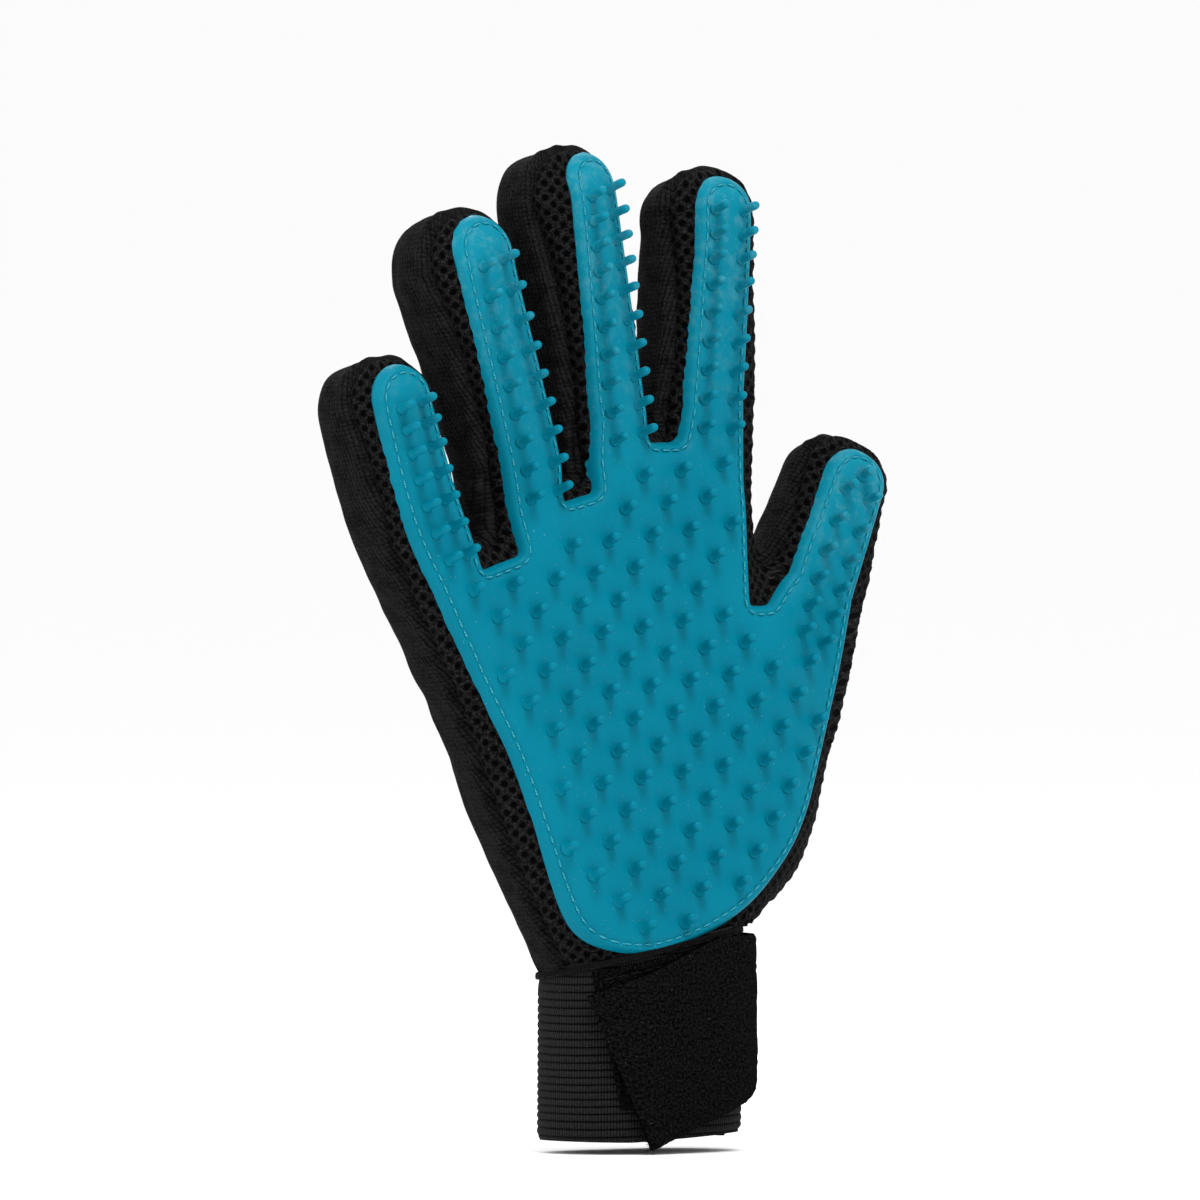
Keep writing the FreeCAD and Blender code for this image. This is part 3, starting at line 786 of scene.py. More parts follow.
def all_nubs(outline):
    """Every nub of the pad, and the piece that each belongs to."""
    spots = []
    for digit in digits.values():
        at_base, at_tip, rise, end = digit.nubs
        for z in digit_rows(digit):
            spread = np.interp(z, (digit.folds[0], end), (at_base, at_tip))
            for side in (-1, 1):
                height = z + side * rise
                middle, _ = digit.pad_at(height)
                spots.append((*digit.hand(middle + side * spread, height), NUB_FINGER))
    fingers = np.array(spots)[:, :2]
    for j in range(20):
        z = PALM_FIRST_ROW + j * PALM_PITCH_Z
        for i in range(-7, 8):
            x = (i + 0.5 * (j % 2)) * PALM_PITCH_X
            inside = edge_distance(np.array([[x, z]]), outline)[0]
            if inside > NUB_MARGIN and np.min(np.hypot(*(fingers - (x, z)).T)) > NUB_CLEAR:
                spots.append((x, z, NUB_PALM))
    spots = np.array(spots)
    feet = on_front(spots[:, 0], spots[:, 1], np.full(len(spots), NUB_FOOT))
    lean = gradient(feet) * 0.45 + np.array([0, -0.55, NUB_RISE])
    lean /= np.linalg.norm(lean, axis=1, keepdims=True)
    owner, part = pad_owners(feet)
    shapes = [nub_shape(f, n, h) for f, n, h in zip(feet, lean, spots[:, 2])]
    return shapes, list(zip(owner.tolist(), part.tolist()))


STITCH, STITCH_GAP, THREAD_R = 2.3, 0.75, 0.27  # the pad's stitches
STITCH_LEVEL = 1.5  # height of the thread over the fabric


def walk(path, first, length, gap):
    """Start and end points of dashes laid along a path."""
    run = np.linalg.norm(np.diff(path, axis=0), axis=1)
    at = np.concatenate([[0], np.cumsum(run)])
    starts = np.arange(first, at[-1] - length, length + gap)
    pick = lambda s: np.stack([np.interp(s, at, path[:, c]) for c in range(path.shape[1])], 1)
    return pick(starts), pick(starts + length)


def stitch_shape(a, b, out, radius):
    """A thread stitch from a to b: a thin spindle that dips into the surface at both ends."""
    along = b - a
    side = np.cross(along, out)
    side /= np.linalg.norm(side)
    rings, sides = 5, 6
    points, faces = [], []
    for r in range(rings):
        t = r / (rings - 1)
        bulge = math.sin(math.pi * (0.12 + 0.76 * t))
        centre = a + along * t + out * radius * (1.1 * bulge - 0.7)
        for i in range(sides):
            turn = 2 * math.pi * i / sides
            points.append(centre + radius * bulge * (side * math.cos(turn) + out * math.sin(turn)))
    for r in range(rings - 1):
        for i in range(sides):
            j = (i + 1) % sides
            faces.append([r * sides + i, (r + 1) * sides + i, (r + 1) * sides + j, r * sides + j])
    faces.append(list(range(sides)))
    faces.append([(rings - 1) * sides + i for i in reversed(range(sides))])
    return np.array(points), faces


def pad_stitches(outline):
    """The running stitch just inside the pad's lip, and the piece that each stitch belongs to."""
    line = outline + inward(outline) * STITCH_IN
    keep = np.abs(edge_distance(line, outline) - STITCH_IN) < 0.15
    line = line[keep]
    line = np.concatenate([line, line[:1]])
    starts, ends = walk(line, 0.4, STITCH, STITCH_GAP)
    short = np.linalg.norm(ends - starts, axis=1) > STITCH * 0.6
    starts, ends = starts[short], ends[short]
    level = np.full(len(starts), STITCH_LEVEL)
    a = on_front(starts[:, 0].copy(), starts[:, 1].copy(), level)
    b = on_front(ends[:, 0].copy(), ends[:, 1].copy(), level)
    out = gradient((a + b) / 2)
    owner, part = pad_owners((a + b) / 2)
    shapes = [stitch_shape(p, q, n, THREAD_R) for p, q, n in zip(a, b, out)]
    return shapes, list(zip(owner.tolist(), part.tolist()))


def join_shapes(name, shapes, material, place=to_glove):
    """Many small closed shapes as one object."""
    points, faces, base = [], [], 0
    for p, f in shapes:
        points.append(p)
        faces += [[i + base for i in face] for face in f]
        base += len(p)
    return link(name, smooth_mesh(name, place(np.concatenate(points)), faces, material))


# ---------------------------------------------------------------- cuff and strap
def in_metres(points):
    return points * MM


OVAL_LAP = 4 * (CUFF_A - CUFF_B) + 2 * math.pi * CUFF_B  # the way once round the cuff


def oval(s, out):
    """Points and outward normals s round from the front's middle, on the oval out from the cuff's face."""
    flat, r = CUFF_A - CUFF_B, CUFF_B
    s = (s + OVAL_LAP / 2) % OVAL_LAP - OVAL_LAP / 2
    side, s = np.sign(s), np.abs(s)
    turn = np.clip((s - flat) / r, 0, math.pi)
    back = np.maximum(s - flat - math.pi * r, 0)
    x = np.minimum(s, flat) + (r + out) * np.sin(turn) - back
    y = -(r + out) * np.cos(turn)
    normal = np.stack([side * np.sin(turn), -np.cos(turn), np.zeros_like(turn)], -1)
    return side * x, y, normal


def oval_point(s, z, out):
    """One point out from the cuff's face, and its outward normal."""
    x, y, normal = oval(np.array([s]), out)
    return np.array([x[0], y[0], z]), normal[0]


def seam_height(x, y):
    """Height of the slanted wrist seam over x, y."""
    tilt = turn_matrix((0, 0, 0), HAND_TURN_AXIS, CUFF_SLANT).to_3x3() @ Vector((0, 0, 1))
    return CUFF_TOP - (tilt.x * x + tilt.y * y) / tilt.z


def wrapped_piece(name, s, z, low, thick, relief, closed, material, columns, v=None):
    """A band on the cuff's oval. s, z and relief are arrays row by row; low is its inner face's distance.
    v, where given, is the fabric coordinate up the band instead of the height."""
    x, y, _ = oval(s, low)
    inner = np.stack([x, y, z], -1).reshape(-1, 3)
    x, y, _ = oval(s, low + thick + relief)
    outer = np.stack([x, y, z], -1).reshape(-1, 3)
    faces = grid_faces(len(s), columns, closed)
    shade = vertex_normals(outer, faces)
    uv = np.stack([s, z if v is None else v], -1).reshape(-1, 2)
    return shell(name, in_metres(outer), in_metres(inner), faces, shade, uv, material)


RIB = 1.9  # pitch of the cuff's ribs


def elastic_cuff(material):
    """The cuff, whose ribs lean a little and fade out under the wrist seam."""
    columns, rows = 170, 210
    s, t = np.meshgrid(np.arange(columns) * OVAL_LAP / columns, np.linspace(0, 1, rows))
    x, y, _ = oval(s, 0)
    foot = 0.35 * (x / CUFF_A) ** 2 + 1.6 * np.clip((x + 14) / 30, 0, 1) * (y < 0)
    z = foot + t * (seam_height(x, y) + 1.2 - foot)
    ribbed = z - 0.065 * x * np.clip(z / 20, 0.3, 1) + 0.12 * np.sin(s / 6.0)
    rib = np.abs(np.sin(math.pi * ribbed / RIB)) ** 0.6
    waves = 0.25 * np.sin(s * 2 * math.pi / OVAL_LAP * 5 + z * 0.05)
    close_in = -0.6 * np.exp(-((1 - t) * 12) ** 2) - 0.7 * np.exp(-(t * 45) ** 2)
    rib = 1 - (1 - rib) * np.clip((seam_height(x, y) - 3.5 - z) / 2, 0, 1)
    relief = 0.38 * (rib - 1) + waves * 0.4 + close_in
    obj = wrapped_piece("elastic_cuff_ribbed", s, z, -CUFF_WALL, CUFF_WALL, relief, True, material,
                        columns, ribbed)
    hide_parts("elastic_cuff")
    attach(obj, "hand")


def seam_tape(material, thread):
    """The folded tape over the wrist seam, with its row of running stitches."""
    columns, rows = 200, 14
    s, t = np.meshgrid(np.arange(columns) * OVAL_LAP / columns, np.linspace(0, 1, rows))
    x, y, _ = oval(s, 0)
    z = seam_height(x, y) - 1.1 + 1.7 * t
    roll = 0.3 * np.sqrt(np.clip(1 - (2 * t - 1) ** 2, 0, 1)) + 0.07 * np.sin(s * 2.9)
    obj = wrapped_piece("wrist_seam_binding", s, z, -0.6, 0.7, roll, True, material, columns)
    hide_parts("wrist_seam_tape")
    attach(obj, "hand")
    s = np.linspace(0, OVAL_LAP, 240)
    x, y, _ = oval(s, 0)
    sewn = oval_thread("wrist_seam_thread", [np.stack([s, seam_height(x, y) - 0.7], 1)], 0.38, thread, 0.14)
    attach(sewn, "hand")


def oval_thread(name, paths, out, material, radius):
    """Running stitches along paths of (s, z) on the oval out from the cuff's face."""
    shapes = []
    for path in paths:
        starts, ends = walk(path, 0.3, 2.4, 0.9)
        for a, b in zip(starts, ends):
            first, _ = oval_point(*a, out)
            last, normal = oval_point(*b, out)
            shapes.append(stitch_shape(first, last, normal, radius))
    return join_shapes(name, shapes, material, in_metres)


# The strap laid flat: its free edge's two corners, and the slopes of its long edges
STRAP_TOP, STRAP_LOW = (-24.5, 35.6), (-10.6, -1.7)
STRAP_RISE_TOP, STRAP_RISE_LOW, STRAP_HIGH = 0.41, 0.385, 49.5
STRAP_HINGE = CUFF_A - CUFF_B + CUFF_B * math.pi / 2
STRAP_SEWN = STRAP_HINGE + 46.0  # where the strap ends, sewn down behind
SEWN_LOW, SEWN_TOP = 9.0, 42.0  # heights of its long edges there


def strap_edge(s, corner, rise, sewn_height):
    """Height of a long edge of the strap: it rises to the thumb side and is level where it is sewn."""
    front = np.minimum(corner[1] + rise * (np.minimum(s, STRAP_HINGE) - corner[0]), STRAP_HIGH)
    behind = np.clip((s - STRAP_HINGE) / (STRAP_SEWN - STRAP_HINGE), 0, 1)
    return front + (sewn_height - front) * behind * behind * (3 - 2 * behind)


def wrist_strap(velour):
    """The velour strap, from its slanted free edge to its sewn end."""
    columns, rows = 190, 62
    across, t = np.meshgrid(np.linspace(0, 1, columns), np.linspace(0, 1, rows))
    s_low = STRAP_LOW[0] + (STRAP_SEWN - STRAP_LOW[0]) * across
    s_top = STRAP_TOP[0] + (STRAP_SEWN - STRAP_TOP[0]) * across
    s = s_low + (s_top - s_low) * t
    low = strap_edge(s_low, STRAP_LOW, STRAP_RISE_LOW, SEWN_LOW)
    z = low + (strap_edge(s_top, STRAP_TOP, STRAP_RISE_TOP, SEWN_TOP) - low) * t
    flat_points = np.stack([s, z, z * 0], -1)
    edge = np.minimum.reduce([t * 40, (1 - t) * 40, across * 118])
    round_off = -0.55 * np.exp(-(edge / 0.8) ** 2)
    pile = 0.16 * noise(flat_points, 1.1, 21) + 0.22 * noise(flat_points, 7.0, 4)
    z_edge = z + 0.12 * noise(flat_points, 0.8, 9) * np.exp(-edge)
    obj = wrapped_piece("velour_wrist_strap", s, z_edge, STRAP_OPEN - 0.1, STRAP_T, round_off + pile,
                        False, velour, columns)
    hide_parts("wrist_strap", "strap_anchor")
    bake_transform(obj)


def free_edge(t):
    """The place on the strap's free edge, t of the way from its lower to its upper corner."""
    return [low + (top - low) * t for low, top in zip(STRAP_LOW, STRAP_TOP)]


HAIRS, HAIR_R = 90, 0.05


def strap_details(lint, thread, velour_out):
    """The sewn end's box and cross of stitches behind, and the loose fibres of the cut free edge."""
    s0, s1, z0, z1 = STRAP_SEWN - 24, STRAP_SEWN - 3, 14.0, 37.5
    corners = [(s0, z0), (s1, z0), (s1, z1), (s0, z1), (s0, z0)]
    box = [np.array([a, b], float) for a, b in zip(corners, corners[1:])]
    cross = [np.array([(s0, z0), (s1, z1)], float), np.array([(s0, z1), (s1, z0)], float)]
    sewn = oval_thread("strap_box_stitching", box + cross, velour_out + 0.05, thread, 0.24)
    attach(sewn, "hand")
    rng = np.random.default_rng(11)
    hairs = []
    for _ in range(HAIRS):
        t = rng.random() ** 1.6
        s, z = free_edge(t)
        root, normal = oval_point(s + 0.2, z, velour_out - 0.5 - 0.8 * rng.random())
        out = np.array([-1.0, 0, -0.25]) + rng.normal(0, 0.45, 3)
        out[1] = min(out[1], 0.15)
        length = 0.7 + 1.5 * rng.random() * (1.3 - t)
        hairs.append(stitch_shape(root, root + out / np.linalg.norm(out) * length, normal, HAIR_R))
    fibres = join_shapes("strap_edge_fibres", hairs, lint, in_metres)
    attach(fibres, "strap")


def patch_grid(corners, columns, rows):
    """A grid of (s, z) over four corners: two along the bottom, then two along the top."""
    a, t = np.meshgrid(np.linspace(0, 1, columns), np.linspace(0, 1, rows))
    c = np.array(corners, float)
    grid = ((c[0] * (1 - a[..., None]) + c[1] * a[..., None]) * (1 - t[..., None])
            + (c[2] * (1 - a[..., None]) + c[3] * a[..., None]) * t[..., None])
    return grid[..., 0], grid[..., 1], np.minimum(np.minimum(a, 1 - a) * columns, np.minimum(t, 1 - t) * rows)


# The loop patch laid flat: its left corner at the bottom and at the top, its right side, its lower edge
PATCH_LOW_LEFT, PATCH_LEFT, PATCH_RIGHT, PATCH_LOW = -17.0, -24.0, 16.0, 8.0
PATCH_HEM = 2.0  # its stitches' distance in from its edge


def loop_patch(material, thread):
    """The soft half of the fastening, sewn to the cuff's front."""
    columns, rows = 110, 90
    x, y, _ = oval(np.array([PATCH_LEFT, PATCH_RIGHT]), 0)
    tops = seam_height(x, y) - 1.6
    corners = [(PATCH_LOW_LEFT, PATCH_LOW), (PATCH_RIGHT, PATCH_LOW)]
    corners += [(PATCH_LEFT, tops[0]), (PATCH_RIGHT, tops[1])]
    s, z, edge = patch_grid(corners, columns, rows)
    points = np.stack([s, z, z * 0], -1)
    relief = 0.14 * noise(points, 0.9, 31) - 0.5 * np.exp(-(edge / 1.2) ** 2)
    relief -= 0.3 * np.exp(-((edge - 5.5) / 1.6) ** 2)
    obj = wrapped_piece("cuff_loop_pile", s, z, -0.3, 1.2, relief, False, material, columns)
    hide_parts("cuff_loop_patch")
    inset = [(1, 1), (-1, 1), (1, -1), (-1, -1)]
    hem = [(s + a * PATCH_HEM, z + b * PATCH_HEM) for (s, z), (a, b) in zip(corners, inset)]
    outline = np.array([hem[i] for i in (0, 1, 3, 2, 0)])
    sewn = oval_thread("loop_patch_thread", [outline], 0.75, thread, 0.2)
    for piece in (obj, sewn):
        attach(piece, "hand")


HOOK_HEIGHT = 0.62
HOOK_CORNERS = [(-9.2, 1.5), (16.0, 11.5), (-21.6, 34.5), (4.0, 40.5)]
HOOK_COLUMNS, HOOK_ROWS = 15, 20


def hook_shape(foot, out, along):
    """One small hook: a tapering stem that bends over at its top."""
    side = np.cross(along, out)
    points, sides = [], 5
    bend = [(0, 0, 0.2), (0.02, 0.5, 0.15), (0.1, 0.85, 0.12), (0.3, 1.0, 0.1), (0.45, 0.82, 0.07)]
    for lean, share, radius in bend:
        centre = foot + along * lean + out * share * HOOK_HEIGHT
        across = along if share < 1 else out
        for i in range(sides):
            turn = 2 * math.pi * i / sides
            points.append(centre + radius * (side * math.cos(turn) + across * math.sin(turn)))
    faces = grid_faces(len(bend), sides, True)
    faces.append(list(range(sides))[::-1])
    faces.append([(len(bend) - 1) * sides + i for i in range(sides)])
    return np.array(points), faces


def hook_patch(material):
    """The hook half of the fastening, inside the strap's free end."""
    columns, rows = 40, 40
    s, z, _ = patch_grid(HOOK_CORNERS, columns, rows)
    obj = wrapped_piece("strap_hook_base", s, z, STRAP_OPEN - 0.5, 0.45, 0 * s, False, material, columns)
    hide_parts("strap_hook_patch")
    hooks = []
    s, z, _ = patch_grid(HOOK_CORNERS, HOOK_COLUMNS, HOOK_ROWS)
    for at, height in zip(s[1:-1, 1:-1].ravel(), z[1:-1, 1:-1].ravel()):
        foot, normal = oval_point(at, height, STRAP_OPEN - 0.45)
        hooks.append(hook_shape(foot, -normal, np.cross([0, 0, 1.0], normal)))
    pile = join_shapes("strap_hooks", hooks, material, in_metres)
    for piece in (obj, pile):
        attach(piece, "strap")


# ---------------------------------------------------------------- materials
class Look:
    """A procedural material and short ways to add nodes to it. Fabric coordinates are millimetres."""
    def __init__(self, name, roughness, specular=0.5):
        self.material = bpy.data.materials.new(name)
        self.material.use_nodes = True
        self.tree = self.material.node_tree
        self.shader = self.tree.nodes["Principled BSDF"]
        self.shader.inputs["Roughness"].default_value = roughness
        self.shader.inputs["Specular IOR Level"].default_value = specular

    def put(self, socket, value):
        if isinstance(value, bpy.types.NodeSocket):
            self.tree.links.new(value, socket)
        elif value is not None:
            socket.default_value = value

    def node(self, kind, inputs=(), **settings):
        node = self.tree.nodes.new(kind)
        for key, value in settings.items():
            setattr(node, key, value)
        for key, value in dict(inputs).items():
            self.put(node.inputs[key], value)
        return node

    def fabric(self):
        return self.node("ShaderNodeUVMap", uv_map="Fabric").outputs[0]

    def place(self):
        """Object coordinates, in millimetres."""
        at = self.node("ShaderNodeTexCoord").outputs["Object"]
        return self.vector("SCALE", at, None, Scale=1 / MM)

    def fabric_axes(self):
        """The fabric coordinates, and the two of them singly: across and along."""
        uv = self.fabric()
        split = self.node("ShaderNodeSeparateXYZ", {0: uv})
        return uv, split.outputs[0], split.outputs[1]

    def vector(self, operation, a, b=None, **more):
        node = self.node("ShaderNodeVectorMath", operation=operation)
        self.put(node.inputs[0], a)
        self.put(node.inputs[1], b)
        for key, value in more.items():
            self.put(node.inputs[key], value)
        return node.outputs["Value" if operation in ("LENGTH", "DISTANCE", "DOT_PRODUCT") else "Vector"]

    def math(self, operation, a, b=None):
        node = self.node("ShaderNodeMath", operation=operation)
        for socket, value in zip(node.inputs, (a, b)):
            self.put(socket, value)
        return node.outputs[0]

    def plus(self, a, b):
        return self.math("ADD", a, b)

    def times(self, a, b):
        return self.math("MULTIPLY", a, b)

    def wave(self, value, period, drift=0.0):
        """A sine of the value, with the given period."""
        turns = self.times(value, 2 * math.pi / period)
        return self.math("SINE", self.plus(turns, drift) if drift else turns)

    def noise(self, vector, scale, detail=2.0, roughness=0.55):
        values = {"Vector": vector, "Scale": scale, "Detail": detail, "Roughness": roughness}
        return self.node("ShaderNodeTexNoise", values).outputs["Fac"]

    def spots(self, vector, scale, size):
        """1 in small scattered spots, 0 elsewhere."""
        cell = self.node("ShaderNodeTexVoronoi", {"Vector": vector, "Scale": scale, "Randomness": 1.0})
        chance = self.node("ShaderNodeSeparateXYZ", {0: cell.outputs["Color"]}).outputs[0]
        radius = self.times(self.math("POWER", chance, 5.0), size)
        return self.steps(self.math("SUBTRACT", cell.outputs["Distance"], radius), 0.0, -0.03)

    def steps(self, value, low, high, to_low=0.0, to_high=1.0):
        values = {"Value": value, "From Min": low, "From Max": high, "To Min": to_low, "To Max": to_high}
        return self.node("ShaderNodeMapRange", values).outputs[0]

    def mix(self, share, a, b):
        node = self.node("ShaderNodeMix", data_type="RGBA")
        for socket, value in zip((node.inputs[0], node.inputs[6], node.inputs[7]), (share, a, b)):
            self.put(socket, value)
        return node.outputs[2]

    def finish(self, colour, height=None, depth_mm=0.2, roughness=None, sheen=0.0):
        self.put(self.shader.inputs["Base Color"], colour)
        self.put(self.shader.inputs["Roughness"], roughness)
        if sheen:
            self.shader.inputs["Sheen Weight"].default_value = sheen
            self.shader.inputs["Sheen Roughness"].default_value = 0.45
            self.shader.inputs["Sheen Tint"].default_value = (1.0, 1.0, 1.0, 1.0)
        if height is not None:
            values = {"Height": height, "Distance": depth_mm * MM, "Strength": 1.0}
            self.put(self.shader.inputs["Normal"], self.node("ShaderNodeBump", values).outputs[0])
        return self.material


def grey(value, blue=1.0):
    """A grey whose blue may be a little stronger."""
    return (value, value, value * blue, 1.0)


HOLE_PITCH = (3.6, 3.5)  # the air mesh's holes, across and along, with one more in the middle of each four


FAR_CELLS = 400  # added so that no coordinate is negative


def air_mesh_look():
    look = Look("air mesh", 0.8, 0.012)
    uv = look.fabric()
    clouds = look.node("ShaderNodeTexNoise", {"Vector": uv, "Scale": 0.35}).outputs["Color"]
    wobble = look.vector("SUBTRACT", clouds, (0.5, 0.5, 0.5))
    uv = look.vector("ADD", uv, look.vector("SCALE", wobble, None, Scale=0.7))
    nearest = None
    for shift in (0.0, 0.5):
        start = (*[(FAR_CELLS + shift) * pitch for pitch in HOLE_PITCH], 0)
        cell = look.vector("MODULO", look.vector("ADD", uv, start), (*HOLE_PITCH, 1.0))
        away = look.vector("LENGTH", look.vector("SUBTRACT", cell, (HOLE_PITCH[0] / 2, HOLE_PITCH[1] / 2, 0)))
        nearest = away if nearest is None else look.math("MINIMUM", nearest, away)
    # wall is 1 on the yarn and 0 in the holes; the holes are painted near black, which is painted shade in
    # them.
    wall = look.steps(nearest, 0.62, 1.05)
    yarn = look.steps(look.noise(uv, 1.7, 3.0, 0.7), 0.42, 0.66)
    height = look.plus(look.times(wall, 0.8), look.times(yarn, 0.35))
    tone = look.mix(yarn, grey(0.0025), grey(0.024, 1.02))
    return look.finish(look.mix(wall, grey(0.0004), tone), height, 0.8, sheen=0.01)


WALE, COURSE = 2.1, 1.05  # the knit's column width and row height


def knit_look():
    look = Look("knit", 0.8, 0.012)
    uv, across, along = look.fabric_axes()
    column = look.math("FRACT", look.math("DIVIDE", across, WALE))
    half = look.math("ABSOLUTE", look.math("SUBTRACT", column, 0.5))
    climb = look.plus(look.math("DIVIDE", along, COURSE), look.times(half, 0.35))
    stitch = look.steps(look.wave(climb, 1.0), -1.0, 1.0)
    wale = look.steps(half, 0.0, 0.16)
    seam = look.steps(half, 0.5, 0.4)
    height = look.times(look.times(wale, seam), look.plus(stitch, 0.5))
    fuzz = look.steps(look.noise(uv, 1.5, 3.0, 0.7), 0.4, 0.66)
    height = look.times(look.plus(height, 0.15), look.plus(fuzz, 0.25))
    patchy = look.steps(look.noise(uv, 0.25, 3.0), 0.35, 0.65, 0.5, 1.4)
    # The colour follows the relief, darker in the grooves between wales and between stitches: painted shade.
    # patchy is the yarn's own uneven tone.
    tone = look.mix(look.times(height, patchy), grey(0.0006), grey(0.021, 1.02))
    return look.finish(tone, height, 0.6, sheen=0.01)


def rubber_look():
    """Teal rubber: faint clouds, rubbed pale towards the fingertips with whitish patches of painted glare
    there, and a little dust.
    """
    look = Look("rubber", 0.36, 0.04)
    at = look.place()
    wear_and_glare = look.node("ShaderNodeAttribute", attribute_name="WearAndGlare").outputs["Fac"]
    cloud = look.noise(at, 0.045, 3.0)
    grain = look.noise(at, 2.2, 3.0)
    base = look.mix(cloud, (0.0, 0.125, 0.185, 1), (0.0, 0.160, 0.235, 1))
    rubbed = look.times(wear_and_glare, look.steps(cloud, 0.2, 0.8, 0.3, 0.8))
    tip_tone = look.mix(rubbed, base, (0.004, 0.19, 0.265, 1))
    # Whitish patches near the fingertips: painted glare, laid over the rubber's real wear.
    painted_glare = look.steps(look.noise(at, 0.35, 4.0, 0.7), 0.48, 0.72)
    painted_glare = look.times(painted_glare, look.steps(wear_and_glare, 0.15, 0.8))
    tip_tone = look.mix(look.times(painted_glare, 0.4), tip_tone, (0.09, 0.25, 0.29, 1))
    dust = look.math("MAXIMUM", look.spots(at, 0.75, 0.16), look.spots(at, 1.6, 0.22))
    colour = look.mix(look.times(dust, 0.3), tip_tone, (0.2, 0.38, 0.43, 1))
    rough = look.plus(look.steps(grain, 0.3, 0.7, 0.34, 0.46), look.times(dust, 0.3))
    height = look.plus(grain, look.times(dust, 0.6))
    return look.finish(colour, height, 0.05, roughness=rough)


def elastic_look():
    look = Look("ribbed elastic", 0.75, 0.012)
    uv, across, along = look.fabric_axes()
    drift = look.times(look.noise(uv, 0.5, 1.0), 1.6)
    yarn = look.steps(look.wave(across, 0.75, drift), -1.0, 0.6)
    fibre = look.noise(look.vector("MULTIPLY", uv, (1.0, 4.0, 1.0)), 2.0, 2.0)
    height = look.plus(look.times(yarn, 0.7), look.times(fibre, 0.5))
    crown = look.math("ABSOLUTE", look.wave(along, 2 * RIB))
    lit = look.times(look.steps(crown, 0.12, 0.6), look.plus(height, 0.1))
    speckle = look.steps(look.noise(uv, 1.8, 2.0), 0.35, 0.65, 0.55, 1.25)
    tone = look.mix(look.times(lit, speckle), grey(0.0006), grey(0.017, 1.02))
    dust = look.spots(uv, 0.9, 0.12)
    return look.finish(look.mix(look.times(dust, 0.25), tone, grey(0.2)), height, 0.25, sheen=0.02)


def tape_look():
    look = Look("woven tape", 0.75, 0.012)
    _, across, along = look.fabric_axes()
    slant = look.plus(across, look.times(along, 0.8))
    height = look.steps(look.times(look.wave(slant, 0.62), look.wave(along, 0.5)), -1.0, 1.0)
    # The colour follows the weave's relief, darker where the threads dip: painted shade.
    return look.finish(look.mix(height, grey(0.0006), grey(0.009, 1.02)), height, 0.16, sheen=0.01)


def pile_look(name, tone, sheen, depth, lint):
    """Short brushed pile, for the velour and the loops, with some lint on it."""
    look = Look(name, 0.9, 0.0)
    uv = look.fabric()
    nap = look.noise(uv, 1.5, 3.0, 0.7)
    brushed = look.noise(look.vector("MULTIPLY", uv, (0.3, 1.0, 1.0)), 0.35, 2.0)
    # The nap's raised tufts and the brushed streaks are painted lighter: painted highlights on the pile. The
    # lint specks are real.
    shade = look.mix(look.steps(nap, 0.42, 0.66), grey(tone * 0.15), grey(tone * 2.2, 1.02))
    shade = look.mix(look.steps(brushed, 0.4, 0.7, 0.0, 0.15), shade, grey(tone * 2.2, 1.02))
    dust = look.spots(uv, 0.9, 0.13)
    shade = look.mix(look.times(dust, lint), shade, grey(0.35))
    return look.finish(shade, nap, depth, sheen=sheen)


def plastic_look():
    look = Look("hook plastic", 0.5, 0.5)
    at = look.place()
    grain = look.noise(at, 1.5, 2.0)
    return look.finish(look.mix(grain, grey(0.008), grey(0.02)), grain, 0.05,
                       roughness=look.steps(grain, 0.3, 0.7, 0.4, 0.6))


def thread_look(name, dark, light):
    look = Look(name, 0.6, 0.04)
    at = look.place()
    twist = look.math("SINE", look.times(look.vector("DOT_PRODUCT", at, (1.0, 0.6, 1.3)), 9.0))
    ply = look.steps(twist, -1.0, 1.0)
    # The colour follows the twist, darker in the grooves between the plies and lighter on them: painted shade
    # and painted highlight.
    return look.finish(look.mix(ply, dark, light), ply, 0.08, sheen=0.03)


# ---------------------------------------------------------------- the whole glove
teal_thread = thread_look("teal thread", (0.0, 0.17, 0.24, 1), (0.05, 0.34, 0.42, 1))
black_thread = thread_look("black thread", grey(0.001), grey(0.010))
velour = pile_look("velour", 0.0042, 0.005, 0.8, 0.2)
hook_plastic = plastic_look()

fabric_pieces(air_mesh_look(), knit_look())
pad_pieces(rubber_look(), teal_thread)
elastic_cuff(elastic_look())
seam_tape(tape_look(), black_thread)
loop_patch(pile_look("loop pile", 0.003, 0.0, 0.3, 0.08), black_thread)
wrist_strap(velour)
hook_patch(hook_plastic)
strap_details(velour, black_thread, STRAP_OPEN + STRAP_T)


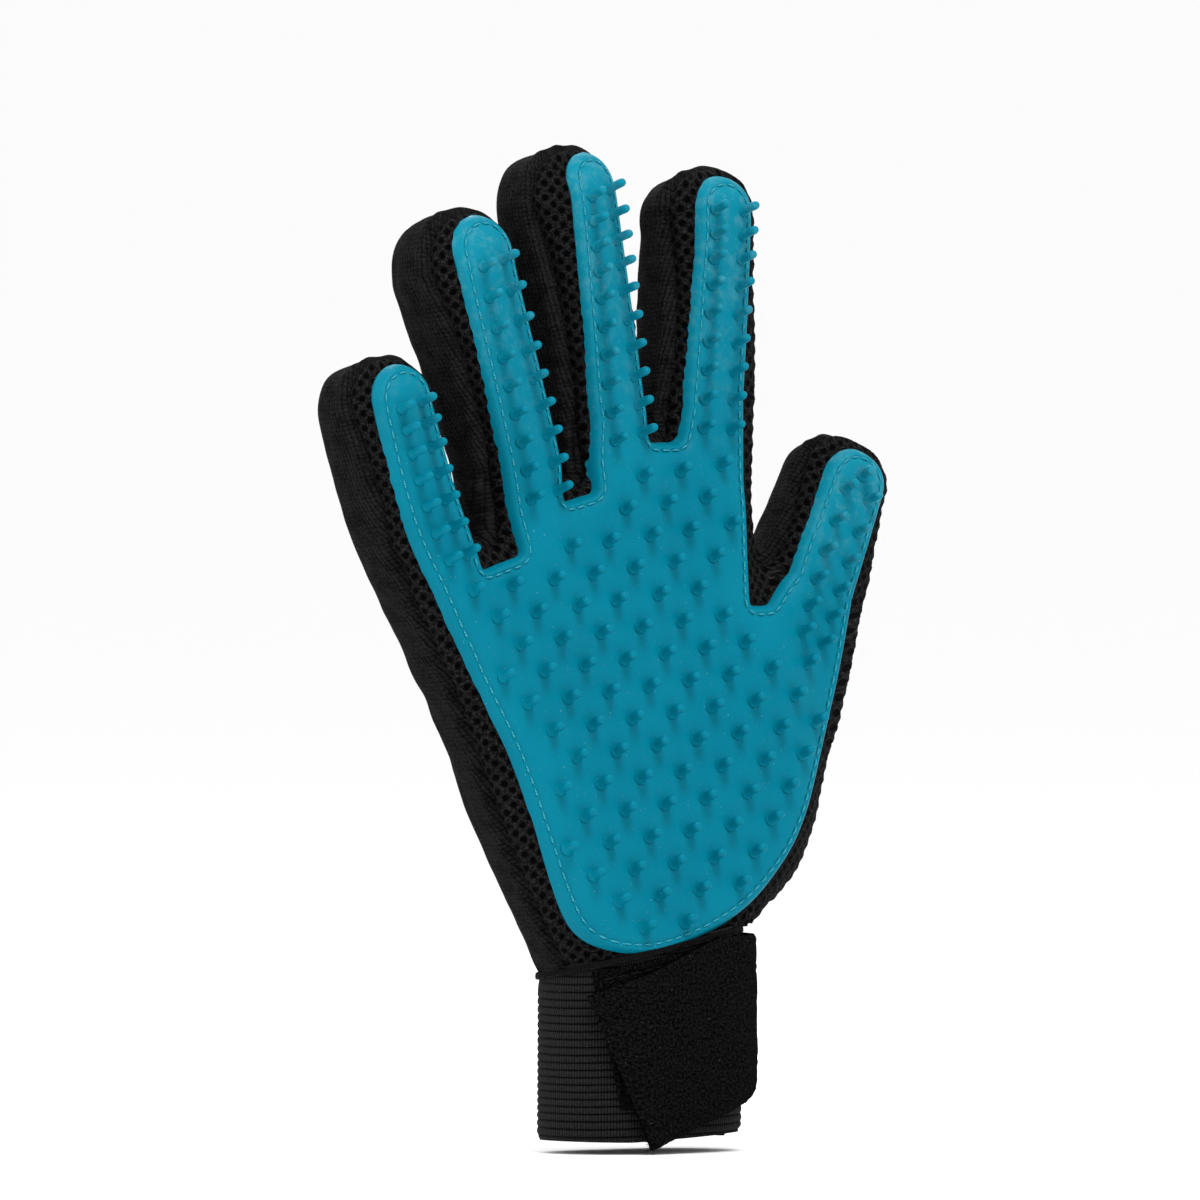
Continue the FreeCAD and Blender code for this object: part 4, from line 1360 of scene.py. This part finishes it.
# ---------------------------------------------------------------- camera, light and floor
# Metres from here on
TURN, TILT = math.radians(36), math.radians(1.5)  # the view comes from the little finger's side, from above
CAMERA_AWAY, CAMERA_LENS = 8.0, 994.0  # so far off that lines hardly converge
TARGET = Vector((-0.0077, 0.0056, 0.1304))  # the middle of the view
FLOOR_Z, FLOOR_REACH = -0.0028, 300.0


def aim(name, data, direction, away):
    """Puts a camera or light where it sees the target along a direction."""
    obj = link(name, data)
    obj.location = TARGET - direction * away
    obj.rotation_mode = "QUATERNION"
    obj.rotation_quaternion = direction.to_track_quat("-Z", "Y")
    return obj


def camera():
    look = Vector((math.sin(TURN) * math.cos(TILT), math.cos(TURN) * math.cos(TILT), -math.sin(TILT)))
    data = bpy.data.cameras.new("camera")
    data.sensor_width, data.lens = 36.0, CAMERA_LENS
    data.clip_start, data.clip_end = 0.05, 1000.0
    bpy.context.scene.camera = aim("camera", data, look, CAMERA_AWAY)


def area_light(name, azimuth, elevation, away, size, power):
    """A soft square light that looks at the glove. Azimuth 0 is in front of the palm side, along -Y."""
    a, e = math.radians(azimuth), math.radians(elevation)
    back = Vector((math.sin(a) * math.cos(e), -math.cos(a) * math.cos(e), math.sin(e)))
    data = bpy.data.lights.new(name, "AREA")
    data.energy, data.size = power, size
    aim(name, data, -back, away)


def surroundings():
    """The floor, a white room of light and plain colours."""
    mesh = bpy.data.meshes.new("floor")
    corners = [(x * FLOOR_REACH, y * FLOOR_REACH, FLOOR_Z) for x, y in ((-1, -1), (1, -1), (1, 1), (-1, 1))]
    mesh.from_pydata(corners, [], [(0, 1, 2, 3)])
    look = Look("floor", 0.9, 0.2)
    mesh.materials.append(look.finish((0.97, 0.97, 0.97, 1)))
    link("floor", mesh)
    world = bpy.data.worlds.new("studio")
    world.use_nodes = True
    world.node_tree.nodes["Background"].inputs[0].default_value = (1, 1, 1, 1)
    world.node_tree.nodes["Background"].inputs[1].default_value = 1.0
    bpy.context.scene.world = world
    bpy.context.scene.view_settings.view_transform = "Standard"


camera()
surroundings()
area_light("key", -12, 56, 1.2, 0.45, 11.0)
area_light("fill", -100, 25, 1.5, 0.8, 5.0)
area_light("rim", 160, 35, 1.2, 0.5, 6.0)
